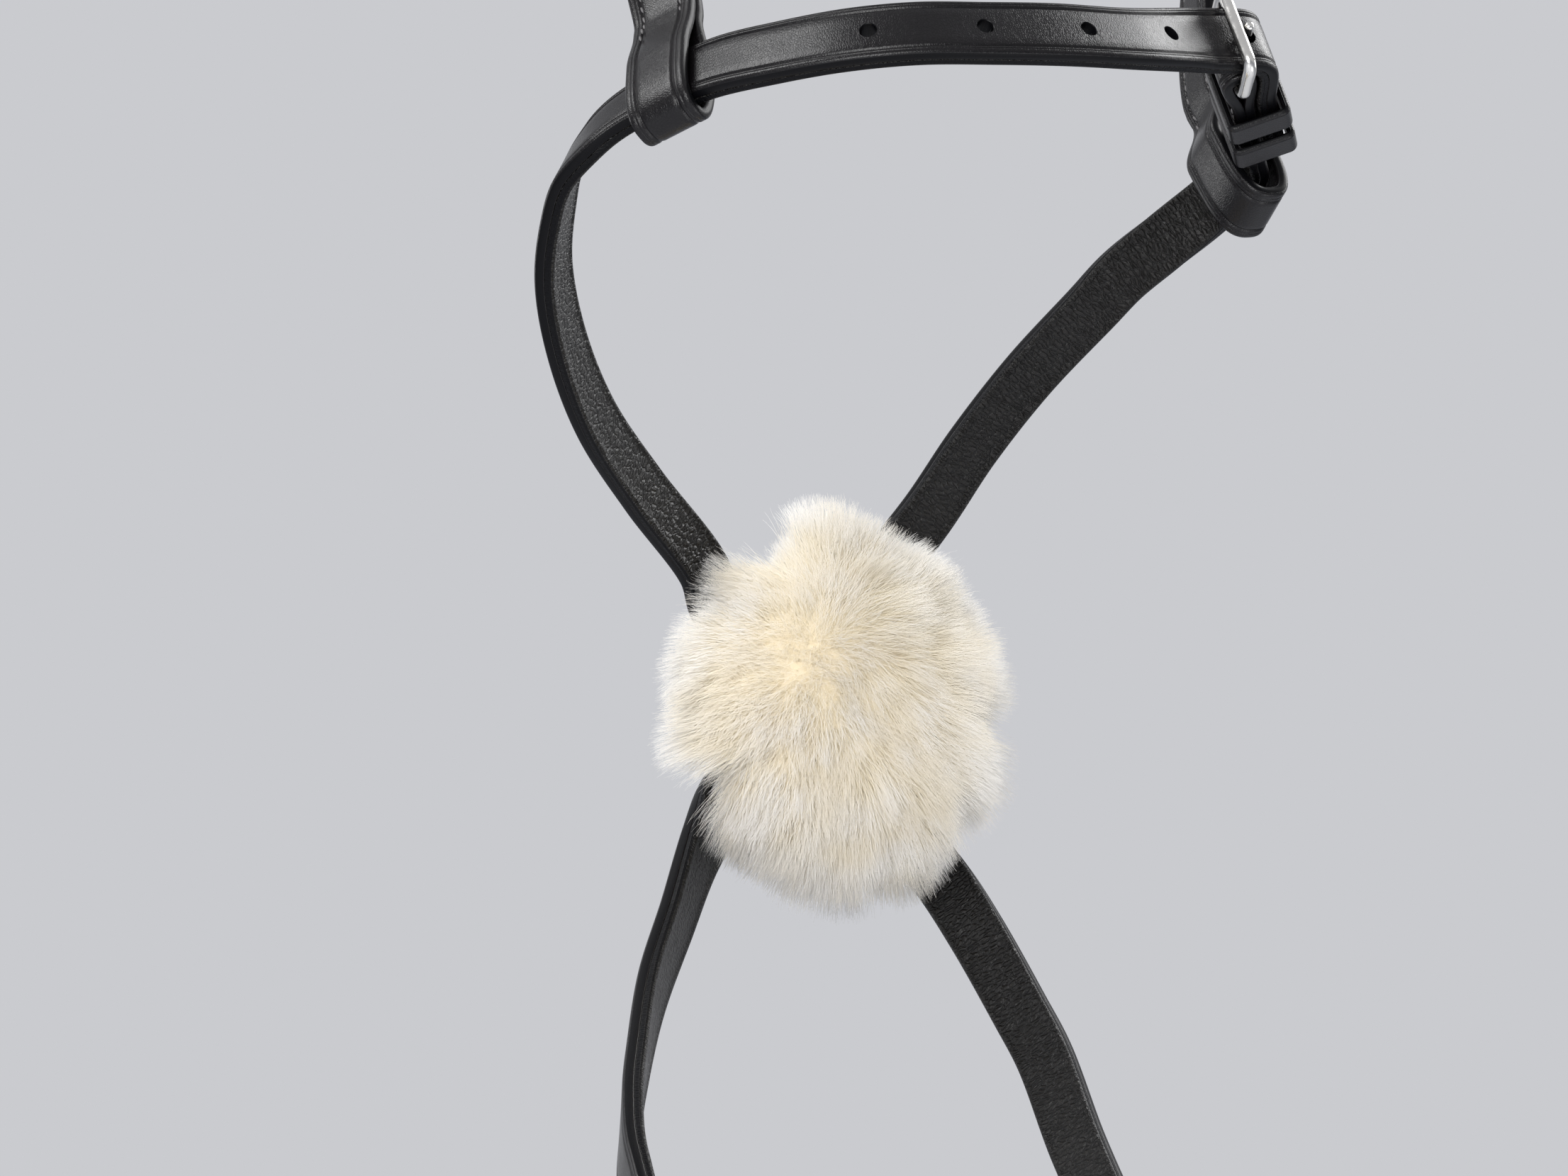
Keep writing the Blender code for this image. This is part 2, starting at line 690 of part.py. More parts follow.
def off_strap_path(jaw, chin):
    """Reference line of the strap: jaw hinge bar, off loop, crossing, chin billet tip."""
    height = LINING_PLY + PLY_GAP
    straight = (jaw.hinge - ring_point(OFF_LOOP_ENTRY_SHARES)).length
    rows = [(jaw.spot(-straight * k, 0.0), jaw.n) for k in (0.0, 0.3, 0.6, 0.85)]
    rows += knots((OFF_LOOP_ENTRY_SHARES, OFF_LOOP_SHARES), ring_point)
    rows += knots(OFF_NOSE_STRAP_SHARES, ring_point)
    rows += crossing_rows(height, OFF_STRAP_SLOPES)
    rows += knots(OFF_STRAP_BELOW_SHARES, ring_point)
    billet = chin.billet_knots(HOLE_PITCH / 2)
    billet.reverse()
    rows += billet[:3]
    points, outward = smooth_path(rows)
    tail = billet[3:]
    return Path(points + [row[0] for row in tail], outward + [row[1] for row in tail])


def loop_frame(path, place, slide):
    """Frame of a cheek loop slid back along a strap: centre, upward width direction, outward normal, along."""
    point, tangent, normal, across = path.at(path.nearest(place) - slide)
    up = across if across.z > 0 else -across
    return point, up, normal, tangent


def loop_shift():
    """How far the middle of a strap's two plies lies outside its reference line."""
    return (OUTER_PLY - LINING_PLY) / 2


def loop_radius(clearance, set_in):
    """Middle line's radius of a loop round both plies, and how far its centre is above the strap's edge."""
    half = (PLY_GAP + OUTER_PLY + LINING_PLY) / 2
    inner = half + clearance
    return inner + CHEEK_PLY / 2, math.sqrt((inner - LOOP_SEAT_GAP) ** 2 - (half + set_in) ** 2)


def loop_points(frame, lap_height, clearance, set_in, lean):
    """Middle line round the strap, from the throat's outer side down, under and up to its inner side."""
    centre, up, normal, along = frame
    radius, lift = loop_radius(clearance, set_in)
    shift = loop_shift() - set_in
    edge = JAW_STRAP_WIDTH / 2
    profile = []
    for k in range(7):
        share = k / 6
        spread = smooth_step(share)
        across = (lean + lap_height) * (1 - spread) + radius * spread
        profile.append((across, edge + LOOP_THROAT * (1 - share)))
    for k in range(13):
        angle = math.pi * k / 12
        profile.append((radius * math.cos(angle), lift - edge - radius * math.sin(angle)))
    for k in range(7):
        share = 1 - k / 6
        spread = smooth_step(share)
        across = (lean - lap_height) * (1 - spread) - radius * spread
        profile.append((across, edge + LOOP_THROAT * (1 - share)))
    return [centre + normal * (shift + q) + up * r for q, r in profile]


def cheek_start(frame, set_in, lean):
    """Two rows of a cheek's reference line just above its loop."""
    centre, up, normal, along = frame
    shift = loop_shift() - set_in + lean
    first = centre + normal * shift + up * (JAW_STRAP_WIDTH / 2 + LOOP_THROAT)
    return [(first, normal), (first + up * CHEEK_WIDTH / 4, normal)]


def near_cheek_path(frame, buckle):
    rows = cheek_start(frame, NEAR_LOOP_SET_IN, NEAR_LOOP_LEAN)
    rows += knots(NEAR_CHEEK_SHARES, cheek_point)
    rows += [(buckle.spot(-BILLET_TAIL, 0.0), buckle.n), (buckle.spot(-BILLET_TAIL / 2, 0.0), buckle.n),
             (buckle.hinge, buckle.n)]
    return Path(*smooth_path(rows))


def poll_rows():
    lift = Vector((0.0, 0.0, CHEEK_PLY / 2 - (PLY_GAP + CHEEK_PLY) / 2))
    outward = Vector((0.0, 0.0, 1.0))
    places = (-1.25, -0.6, 0.0, 0.6, 1.25)
    return [(Vector((POLL_FLAT_HALF_LENGTH * k, 0.0, 0.0)) + lift, outward) for k in places]


def head_path(frame, buckle):
    """Reference line from the near side billet's tip over the poll to the off loop's throat."""
    billet = buckle.billet_knots(HOLE_PITCH / 2)
    shift = (PLY_GAP + CHEEK_PLY) / 2
    billet = [(place - outward * shift, outward) for place, outward in billet]
    rows = billet[-3:]
    rows += knots(NEAR_HEAD_SHARES, cheek_point)
    rows += poll_rows()
    rows += knots(OFF_HEAD_SHARES, cheek_point)
    tail = cheek_start(frame, OFF_LOOP_SET_IN, OFF_LOOP_LEAN)
    tail.reverse()
    rows += tail
    points, outward = smooth_path(rows)
    head = billet[:-3]
    return Path([row[0] for row in head] + points, [row[1] for row in head] + outward)


def fold_stations(points, across, width):
    """Stations of a fold, all with the same direction across."""
    return [(point, across.normalized() * width / 2) for point in points]


def build_strap(name, path, buckle, half_width, materials, group):
    """Outer ply folded round the buckle's bar and lining ply, both with a pointed billet tip.

    The path starts at the hinge bar and ends at the tip.
    """
    outer_height = (PLY_GAP + OUTER_PLY) / 2
    lining_height = -(PLY_GAP + LINING_PLY) / 2
    fold = buckle.fold_points(CHAPE_LAP)
    outer = fold_stations(fold[:-1], path.at(RAMP_LENGTH)[3], buckle.width)
    outer += ply_stations(path, RAMP_LENGTH, path.total, outer_height, half_width, True)
    lining = ply_stations(path, CHAPE_LAP + PLY_GAP, path.total, lining_height, half_width, True)
    upper = ribbon(name + "_outer", outer, OUTER_PLY, materials["leather"], group)
    lower = ribbon(name + "_lining", lining, LINING_PLY, materials["lining"], group)
    return upper, lower


def looped_end(path, frame, clearance, set_in, lean):
    """Stations from the end of a loop's lap down, under the strap and up to the throat's outer side."""
    height = (PLY_GAP + CHEEK_PLY) / 2
    lap = ply_stations(path, 0.0, LOOP_LAP, -height, cheek_half_width)
    lap.reverse()
    bottom = loop_points(frame, height, clearance, set_in, lean)
    bottom.reverse()
    return lap + fold_stations(bottom[1:-1], path.at(0.0)[3], CHEEK_WIDTH)


def build_near_cheek(path, frame, buckle, material, group):
    """One ribbon: loop lap, loop, outer run, round the cheek buckle's bar, chape lap."""
    height = (PLY_GAP + CHEEK_PLY) / 2
    stations = looped_end(path, frame, NEAR_LOOP_CLEARANCE, NEAR_LOOP_SET_IN, NEAR_LOOP_LEAN)
    stations += ply_stations(path, 0.0, path.total - RAMP_LENGTH, height, cheek_half_width)
    fold = buckle.fold_points(CHAPE_LAP)
    fold.reverse()
    stations += fold_stations(fold[1:], path.at(path.total)[3], CHEEK_WIDTH)
    return ribbon("near_cheekpiece", stations, CHEEK_PLY, material, group)


def build_head_strap(path, frame, material, group):
    """One ribbon: loop lap, loop, off side cheek, over the poll, billet tip."""
    height = (PLY_GAP + CHEEK_PLY) / 2
    stations = looped_end(path, frame, OFF_LOOP_CLEARANCE, OFF_LOOP_SET_IN, OFF_LOOP_LEAN)
    stations += ply_stations(path, 0.0, path.total, height, cheek_half_width, True)
    return ribbon("head_strap", stations, CHEEK_PLY, material, group)


def build_buckle(buckle, materials, group):
    buckle_frame(buckle, materials["nickel"], group)
    buckle_tongue(buckle, materials["nickel"], group)
    keeper(buckle, buckle.name + "_fixed_keeper", FIXED_KEEPER_PLACE, materials["leather"], group)
    keeper(buckle, buckle.name + "_runner_keeper", RUNNER_PLACE, materials["leather"], group)


def disc(name, radius, low, high, material, group):
    centre = crossing_place((low + high) / 2)
    axes = (Vector((1, 0, 0)), Vector((0, 0, -1)), Vector((0, 1, 0)))
    outlines = (circle_outline(radius, ROUND_SIDES), circle_outline(RIVET_RADIUS + RIVET_CLEARANCE, 16))
    return flat_outline(name, outlines, high - low, (centre,) + axes, material, group)


def build_crossing(materials, group, cutters):
    """Outer disc, backing disc, rivet, burr and pad, stacked along Y on the crossing.

    One strap's two plies lie on each side of NOSE_REACH, half a ply gap away from it.
    """
    stack = OUTER_PLY + LINING_PLY + 2.5 * PLY_GAP
    disc_low = NOSE_REACH + stack
    disc_high = disc_low + NOSE_DISC_THICKNESS
    back_high = NOSE_REACH - stack
    back_low = back_high - BACKING_THICKNESS
    disc("nose_disc", NOSE_DISC_RADIUS, disc_low, disc_high, materials["leather"], group)
    disc("pad_backing", BACKING_RADIUS, back_low, back_high, materials["leather"], group)
    centre = crossing_place(0.0)
    burr_high = back_low - PLY_GAP
    burr_low = burr_high - BURR_THICKNESS
    head_low = disc_high + PLY_GAP
    peen_high = burr_low - PLY_GAP
    peen_low = peen_high - RIVET_PEEN_HEIGHT
    profile = [(0.0, peen_low), (RIVET_RADIUS, peen_low),
               (RIVET_PEEN_RADIUS, (peen_low + peen_high) / 2), (RIVET_PEEN_RADIUS, peen_high),
               (RIVET_RADIUS, peen_high), (RIVET_RADIUS, head_low), (RIVET_HEAD_RADIUS, head_low)]
    for k in range(1, 6):
        angle = math.pi / 2 * k / 5
        profile.append((RIVET_HEAD_RADIUS * math.cos(angle), head_low + RIVET_HEAD_HEIGHT * math.sin(angle)))
    profile[-1] = (0.0, head_low + RIVET_HEAD_HEIGHT)
    turned("crossing_rivet", profile, centre, materials["nickel"], group, 20)
    hole = RIVET_RADIUS + RIVET_CLEARANCE
    washer = [(hole, burr_low), (BURR_RADIUS, burr_low), (BURR_RADIUS, burr_high), (hole, burr_high)]
    washer.append(washer[0])
    turned("crossing_rivet_burr", washer, centre, materials["brass"], group, 20)
    build_pad(back_low - PLY_GAP, materials["wool"], group, cutters)


def build_pad(back, material, group, cutters):
    """Sheepskin as a crowned cushion: flat hide at the back, sides drawn in to it, domed front."""
    half = PAD_HEIGHT / 2
    rim = PAD_DEPTH * PAD_RIM_SHARE
    profile = [(0.0, 0.0), (HIDE_RADIUS, 0.0)]
    for k in range(1, 5):
        angle = math.pi / 2 * k / 4
        radius = HIDE_RADIUS + (half - HIDE_RADIUS) * math.sin(angle)
        profile.append((radius, -rim * (1 - math.cos(angle))))
    for k in range(1, 8):
        angle = math.pi / 2 * k / 7
        profile.append((half * math.cos(angle), -rim - (PAD_DEPTH - rim) * math.sin(angle)))
    profile[-1] = (0.0, -PAD_DEPTH)
    centre = crossing_place(back)
    pad = turned("nose_fleece_pad", list(reversed(profile)), centre, material, group, 28)
    squeeze = PAD_WIDTH / PAD_HEIGHT
    for vert in pad.data.vertices:
        reached = min(-vert.co.y / rim, 1.0)
        vert.co.x *= 1 + (squeeze - 1) * reached
        vert.co.z -= PAD_LOWERING * reached
    place = centre - Vector((0.0, POCKET_DEPTH / 2, 0.0))
    deep = POCKET_DEPTH + CUT_OVERRUN
    place.y += CUT_OVERRUN / 2
    cut(pad, [round_cutter("pocket_cutter", place, Vector((0, 1, 0)), POCKET_RADIUS, deep, cutters)])


def main():
    clear_scene()
    group = make_collection("bridle_noseband")
    cutters = make_collection("cutters")
    materials = {
        "leather": make_material("black_leather", LEATHER_BLACK, 0.42, 0.0),
        "lining": make_material("pebbled_lining", LINING_BLACK, 0.6, 0.0),
        "wool": make_material("cream_sheepskin", WOOL_CREAM, 0.95, 0.0),
        "nickel": make_material("nickel_plate", NICKEL, 0.2, 1.0),
        "brass": make_material("brass_burr", BRASS, 0.35, 1.0),
    }
    jaw = Buckle("jaw", JAW_HINGE_SHARES, ring_point, ring_point(OFF_LOOP_ENTRY_SHARES), JAW_STRAP_WIDTH,
                 True, JAW_BEND, LINED_BAR_PAST_BEND)
    chin = Buckle("chin", CHIN_HINGE_SHARES, ring_point, ring_point(NEAR_STRAP_BELOW_SHARES[-1]),
                  NOSE_STRAP_WIDTH, True, CHIN_BEND, LINED_BAR_PAST_BEND)
    cheek = Buckle("cheek", CHEEK_HINGE_SHARES, cheek_point, cheek_point(NEAR_CHEEK_SHARES[-1]), CHEEK_WIDTH,
                   False, CHEEK_BEND, CHEEK_BAR_PAST_BEND)
    near = near_strap_path(jaw, chin)
    off = off_strap_path(jaw, chin)
    near_width = strap_width(near, NEAR_LOOP_SHARES)

    def near_width_back(length):
        return near_width(near.total - length)

    near_plies = build_strap("near_strap", near.reversed(), chin, near_width_back, materials, group)
    off_plies = build_strap("off_strap", off, jaw, strap_width(off, OFF_LOOP_SHARES), materials, group)
    near_frame = loop_frame(near, ring_point(NEAR_LOOP_SHARES), NEAR_LOOP_SLIDE)
    off_frame = loop_frame(off, ring_point(OFF_LOOP_SHARES), OFF_LOOP_SLIDE)
    near_cheek = near_cheek_path(near_frame, cheek)
    head = head_path(off_frame, cheek).reversed()
    near_cheek_piece = build_near_cheek(near_cheek, near_frame, cheek, materials["leather"], group)
    head_piece = build_head_strap(head, off_frame, materials["leather"], group)
    for buckle in (jaw, chin, cheek):
        build_buckle(buckle, materials, group)
    build_crossing(materials, group, cutters)

    rivet_place = crossing_place(NOSE_REACH)
    long = 4 * (OUTER_PLY + LINING_PLY)
    rivet_hole = round_cutter("rivet_hole_cutter", rivet_place, Vector((0, 1, 0)),
                              RIVET_RADIUS + RIVET_CLEARANCE, long, cutters)
    jaw_working = near.nearest(tongue_crossing(jaw))
    chin_working = off.nearest(tongue_crossing(chin))
    cheek_working = head.nearest(tongue_crossing(cheek))
    jaw_holes = hole_cutters(jaw, near, jaw_working, (1, 4), cutters)
    jaw_holes.append(tongue_hole_cutter(jaw, cutters))
    chin_holes = hole_cutters(chin, off, chin_working, (3, 1), cutters)
    chin_holes.append(tongue_hole_cutter(chin, cutters))
    cheek_holes = hole_cutters(cheek, head, cheek_working, (3, 1), cutters)
    cheek_holes.append(tongue_hole_cutter(cheek, cutters))
    for ply in near_plies:
        cut(ply, jaw_holes + [rivet_hole])
    for ply in off_plies:
        cut(ply, chin_holes + [rivet_hole])
    cut(head_piece, cheek_holes)
    cut(near_plies[0], [slot_cutter(chin, cutters)])
    cut(off_plies[0], [slot_cutter(jaw, cutters)])
    cut(near_cheek_piece, [slot_cutter(cheek, cutters)])


def tongue_crossing(buckle):
    """Where the tongue's line passes the billet's reference surface."""
    middle = math.sqrt(buckle.billet_radius ** 2 - buckle.eye_radius ** 2)
    return buckle.hinge + buckle.toward_bar * middle + buckle.off_bar * buckle.eye_radius


main()
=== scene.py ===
"""Crossed bridle noseband with a sheepskin nose pad: leather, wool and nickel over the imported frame.

Metres, +Z up, +Y towards the horse's nose, -X on the horse's near (left) side.
"""

import math

import bmesh
import bpy
import numpy as np
from bpy.props import FloatProperty, FloatVectorProperty, IntProperty, PointerProperty
from mathutils import Matrix, Vector


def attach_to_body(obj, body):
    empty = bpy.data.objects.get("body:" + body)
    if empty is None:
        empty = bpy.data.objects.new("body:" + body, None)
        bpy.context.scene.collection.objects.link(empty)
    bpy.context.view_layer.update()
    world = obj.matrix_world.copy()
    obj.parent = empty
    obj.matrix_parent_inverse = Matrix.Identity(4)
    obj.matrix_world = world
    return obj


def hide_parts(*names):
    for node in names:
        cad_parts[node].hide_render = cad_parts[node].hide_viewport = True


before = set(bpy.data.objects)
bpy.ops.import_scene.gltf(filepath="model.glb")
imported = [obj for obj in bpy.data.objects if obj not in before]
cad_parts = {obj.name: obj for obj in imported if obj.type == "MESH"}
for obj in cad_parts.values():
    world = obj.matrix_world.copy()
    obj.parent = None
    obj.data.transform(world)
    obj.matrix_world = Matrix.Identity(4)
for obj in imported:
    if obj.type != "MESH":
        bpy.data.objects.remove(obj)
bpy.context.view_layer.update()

bl_info = {
    "name": "Bridle Noseband",
    "version": (1, 0, 0),
    "blender": (4, 5, 0),
    "location": "3D Viewport > Sidebar > Noseband",
    "description": "Models a crossed noseband's straps, buckles and sheepskin pad over its packed frame",
    "category": "Add Mesh",
}

MM = 0.001

# ---------------------------------------------------------------- sizes of the frame, as in the part's source

LOOP_HALF_SPAN = 0.074
NOSE_REACH = 0.076
JAW_REACH = 0.060
CROSSING_DROP = 0.116
CROSSING_TO_NEAR_SIDE = 0.003
LOOP_DEPTH_BELOW_POLL = 0.400
HEAD_HALF_WIDTH = LOOP_HALF_SPAN * 1.2432

FLARE_SHARE = 0.6
NOSE_STRAP_WIDTH = 0.0135
JAW_STRAP_WIDTH = 0.0158
CHEEK_WIDTH = 0.0158
OUTER_PLY = 0.0024
LINING_PLY = 0.0020
CHEEK_PLY = 0.0028
PLY_GAP = 0.0003
# Cheek loops. Columns: slide back along the nose strap, clearance round it, set-in and lean of the throat.
NEAR_LOOP_FIT = (0.0022, 0.0016, 0.0004, 0.0019)
OFF_LOOP_FIT = (0.0025, 0.0023, 0.0016, 0.0026)
LOOP_SEAT_GAP = 0.0006
LOOP_THROAT = 0.011
LOOP_LAP = 0.036
CHAPE_LAP = 0.030

WIRE_RADIUS = 0.0015
TONGUE_RADIUS = 0.0011
WIRE_CLEARANCE = 0.0003
BILLET_CLEARANCE = 0.00045
FRAME_SIDE_CLEARANCE = 0.0007
FRAME_CORNER = 0.0026
BAR_SWING_GAP = 0.0010
TONGUE_OVERHANG = 0.0008
SLOT_CLEARANCE = 0.0005
RAMP_LENGTH = 0.012
SLOT_REACH_SHARE = 0.55
KEEPER_LENGTH = 0.008
KEEPER_WALL = 0.0018
KEEPER_CLEARANCE = 0.0006
KEEPER_CORNER = 0.0016
FIXED_KEEPER_PLACE = 0.0175
RUNNER_PLACE = 0.0290
BILLET_TAIL = 0.038
TIP_TAPER = 0.009
TIP_NARROWING_SHARE = 0.55

HOLE_RADIUS = 0.0019
WORKING_HOLE_RADIUS = 0.0021
HOLE_PITCH = 0.025

RIVET_RADIUS = 0.0020
RIVET_CLEARANCE = 0.0003
RIVET_HEAD_RADIUS = 0.0062
RIVET_HEAD_HEIGHT = 0.0024
RIVET_PEEN_RADIUS = 0.0029
RIVET_PEEN_HEIGHT = 0.0009
BURR_THICKNESS = 0.0012
NOSE_DISC_RADIUS = 0.0225
NOSE_DISC_THICKNESS = 0.0026
BACKING_RADIUS = 0.0260
BACKING_THICKNESS = 0.0024
FLAT_ZONE = 0.029
FLAT_ROW_SHARES = (1.0, 0.9, 0.45)
NEAR_STRAP_SLOPES = (math.radians(41.8), math.radians(50.0))
OFF_STRAP_SLOPES = (math.radians(124.3), math.radians(125.5))

PAD_WIDTH = 0.086
PAD_HEIGHT = 0.095
PAD_DEPTH = 0.033
PAD_LOWERING = 0.003

# Route tables. Columns: across (share of LOOP_HALF_SPAN), along (share of NOSE_REACH in front and of
# JAW_REACH behind), up (share of CROSSING_DROP), then the compass and tilt in degrees of the outer face.
JAW_STRAP_SHARES = (
    (0.19, -0.95, 0.085, 175, 29),
    (-0.07, -1.00, 0.065, 180, 28),
    (-0.30, -0.99, 0.05, 188, 28),
    (-0.52, -0.93, 0.04, 199, 27),
    (-0.70, -0.80, 0.03, 214, 26),
    (-0.85, -0.60, 0.02, 230, 26),
    (-0.97, -0.38, 0.01, 238, 27),
)
NEAR_LOOP_SHARES = (-1.07, -0.20, -0.02, 242, 32)
NEAR_NOSE_STRAP_SHARES = (
    (-1.16, -0.06, -0.06, 252, 34),
    (-1.21, 0.02, -0.10, 268, 31),
    (-1.24, 0.12, -0.15, 288, 26),
    (-1.23, 0.21, -0.21, 300, 20),
    (-1.19, 0.33, -0.30, 312, 10),
    (-1.09, 0.46, -0.41, 320, 5),
    (-0.91, 0.63, -0.53, 327, 3),
    (-0.67, 0.79, -0.64, 334, 2),
    (-0.41, 0.91, -0.765, 344, 1),
)
NEAR_STRAP_BELOW_SHARES = (
    (0.41, 0.91, -1.345, 30, 8),
    (0.485, 0.81, -1.465, 44, 5),
    (0.56, 0.67, -1.63, 54, 0),
    (0.59, 0.57, -1.73, 58, -6),
    (0.61, 0.40, -1.92, 62, -12),
    (0.62, 0.21, -2.08, 76, -10),
)
OFF_LOOP_ENTRY_SHARES = (0.985, -0.087, 0.036, 104, 13)
OFF_LOOP_SHARES = (1.00, 0.03, 0.005, 92, 15)
OFF_NOSE_STRAP_SHARES = (
    (0.975, 0.135, -0.033, 76, 21),
    (0.87, 0.25, -0.102, 53, 29),
    (0.775, 0.36, -0.165, 30, 34),
    (0.72, 0.45, -0.22, 17, 36),
    (0.60, 0.65, -0.34, 4, 33),
    (0.485, 0.81, -0.473, -4, 25),
    (0.375, 0.92, -0.61, -6, 13),
)
OFF_STRAP_BELOW_SHARES = (
    (-0.41, 0.92, -1.33, -30, 7),
    (-0.56, 0.775, -1.49, -44, 6),
    (-0.73, 0.59, -1.655, -52, 4),
    (-0.89, 0.35, -1.82, -60, 4),
    (-1.00, 0.16, -1.94, -66, 3),
    (-1.09, -0.06, -2.07, -75, 5),
    (-1.11, -0.30, -2.19, -92, 4),
    (-0.94, -0.55, -2.25, -120, 0),
    (-0.70, -0.78, -2.30, -145, -3),
    (-0.38, -0.90, -2.33, -166, -4),
    (-0.04, -0.92, -2.33, -178, -4),
)
JAW_HINGE_SHARES = (0.64, -0.69, 0.118, 120, 18)
CHIN_HINGE_SHARES = (0.52, -0.43, -2.26, 102, -2)
# Cheek tables. Columns: across (share of HEAD_HALF_WIDTH), along (share of NOSE_REACH), up from the loops
# (share of LOOP_DEPTH_BELOW_POLL), compass and tilt of the outer face.
NEAR_CHEEK_SHARES = (
    (-0.80, 0.05, 0.085, 222, 0),
    (-0.85, 0.06, 0.150, 244, 0),
    (-0.92, 0.06, 0.250, 262, 0),
    (-0.98, 0.05, 0.360, 268, 0),
)
CHEEK_HINGE_SHARES = (-1.00, 0.04, 0.530, 270, 0)
NEAR_HEAD_SHARES = (
    (-0.75, 0.02, 0.745, 272, 28),
    (-0.62, 0.01, 0.860, 272, 42),
    (-0.45, 0.00, 0.955, 271, 62),
)
POLL_FLAT_HALF_LENGTH = 0.019
OFF_HEAD_SHARES = (
    (0.45, 0.00, 0.955, 90, 62),
    (0.70, 0.01, 0.850, 90, 38),
    (0.88, 0.02, 0.700, 90, 18),
    (0.98, 0.03, 0.530, 90, 6),
    (0.97, 0.05, 0.360, 88, 2),
    (0.88, 0.12, 0.230, 95, 2),
    (0.79, 0.19, 0.125, 97, 6),
)
JAW_BEND = math.radians(54)
CHIN_BEND = math.radians(52)
CHEEK_BEND = math.radians(25)
LINED_BAR_PAST_BEND = math.radians(22)
CHEEK_BAR_PAST_BEND = math.radians(35)

# ---------------------------------------------------------------- sizes of the finish

STATION_STEP = 1.3 * MM
OUTER_CORNER = 1.0 * MM
HIDDEN_CORNER = 0.30 * MM
BEAD_WIDTH = 1.1 * MM
BEAD_STEP = 0.22 * MM
EDGE_BULGE = 0.12 * MM
# Cheek loops: heights over the strap's middle where the throat ends and the round begins, and its squareness
THROAT_FOOT = 5.5 * MM
LOOP_BELLY = 2.0 * MM
LOOP_SQUARENESS = 2.8
# A broad and a fine crease line: inset and reach as shares of the broad one's inset, and share of its depth
CREASE_LINES = ((1.0, 0.24, 1.0), (0.62, 0.09, 0.35))
# A crease's section: offset and depth, as shares of its reach and depth
CREASE_SECTION = ((1.0, 0.0), (0.55, 0.25), (0.2, 0.85), (0.0, 1.0), (-0.2, 0.85), (-0.55, 0.25), (-1.0, 0.0))
# Rounded ends. Columns: distance in from the end, shrink of the outline there.
END_STEPS = ((0.0, 0.55 * MM), (0.12 * MM, 0.2475 * MM), (0.45 * MM, 0.06 * MM))
SHRINK_FULL_HEIGHT = 1.4 * MM
RIM_FLARE = 0.30 * MM
THREAD_RADIUS = 0.34 * MM
STITCH_SHARE = 0.66
STITCHED_THROAT = 0.7
STITCH_SLANT = 0.2
CUTTER_OVERRUN = 1.2 * MM
RIVET_CUTTER_LENGTH = 10.4 * MM
DISC_CORNER = 0.6 * MM
DISC_CREASE_INSET = 1.6 * MM
DISC_STITCH_INSET = 3.2 * MM
SHARP_ANGLE = math.radians(38)
# Zones between which an outline's painted edge lies
EDGE_ZONE = (1.02, 1.98)
MERGE_DISTANCE = 0.0005 * MM
DOME_SINKING = (0.78, 0.50, 0.90)
WOOL_SHIFT = 1.6 * MM
DOME_NOTCH_SHARE = 0.45
CRIMP_LENGTH = 7.0 * MM
CRIMP_HEIGHT = 0.30 * MM
# Notches in the wool's rim. Columns: degrees from +X towards +Z, half width in degrees, depth in mm.
RIM_NOTCHES = (
    (119, 15, 10.0),
    (151, 8, 5.5),
    (-148, 9, 8.5),
    (-77, 7, 4.5),
    (-38, 7, 5.0),
    (-2, 8, 5.0),
    (70, 7, 2.5),
    (40, 6, 2.0),
    (-108, 6, 2.0),
    (-175, 5, 2.0),
)

# Camera: it looks at the noseband from behind and a little below, from far off
CAMERA_AZIMUTH = math.radians(-26)
CAMERA_ELEVATION = math.radians(-12)
CAMERA_PLACE = Vector((-0.7119, -1.3706, -0.8320))
CAMERA_LENS = 162.7
SCENE_MIDDLE = Vector((0.0, 0.0, -0.50))
FLOOR_LEVEL = -1.35
FLOOR_HALF_SIZE = 60.0
FLOOR_SHARES = (1.32, 1.36)
SKY_COLOUR = (0.9, 0.93, 1.0, 1.0)
# Lamps. Columns: name, direction (sideways, high, near the camera), distance, size, power in watts.
LAMPS = (
    ("front_softbox", -0.25, 0.20, 1.00, 1.7, 0.9, 26.0),
    ("upper_near_softbox", -0.62, 0.78, 0.05, 1.4, 0.6, 12.0),
    ("upper_off_softbox", 0.64, 0.58, -0.50, 1.4, 0.7, 14.0),
    ("near_side_strip", -1.1, 0.0, -0.45, 1.5, 0.4, 3.0),
    ("off_side_strip", 0.95, 0.15, -0.40, 1.4, 0.4, 2.5),
    ("low_off_softbox", 0.66, -0.55, 0.50, 0.95, 0.4, 1.5),
)


def linear(hex_colour):
    """Linear RGBA of an sRGB hex colour."""
    channels = [int(hex_colour[k:k + 2], 16) / 255 for k in (1, 3, 5)]
    bent = [c / 12.92 if c <= 0.04045 else ((c + 0.055) / 1.055) ** 2.4 for c in channels]
    return (bent[0], bent[1], bent[2], 1.0)


def colour_setting(name, description, hex_colour):
    return FloatVectorProperty(name=name, description=description, subtype='COLOR', size=3,
                               min=0.0, max=1.0, default=linear(hex_colour)[:3])


def length_setting(name, description, millimetres):
    return FloatProperty(name=name, description=description, unit='LENGTH', min=0.0, precision=5,
                         default=millimetres * MM)


def share_setting(name, description, share):
    return FloatProperty(name=name, description=description, min=0.0, max=4.0, default=share)


def count_setting(name, description, count):
    return IntProperty(name=name, description=description, min=4, default=count)


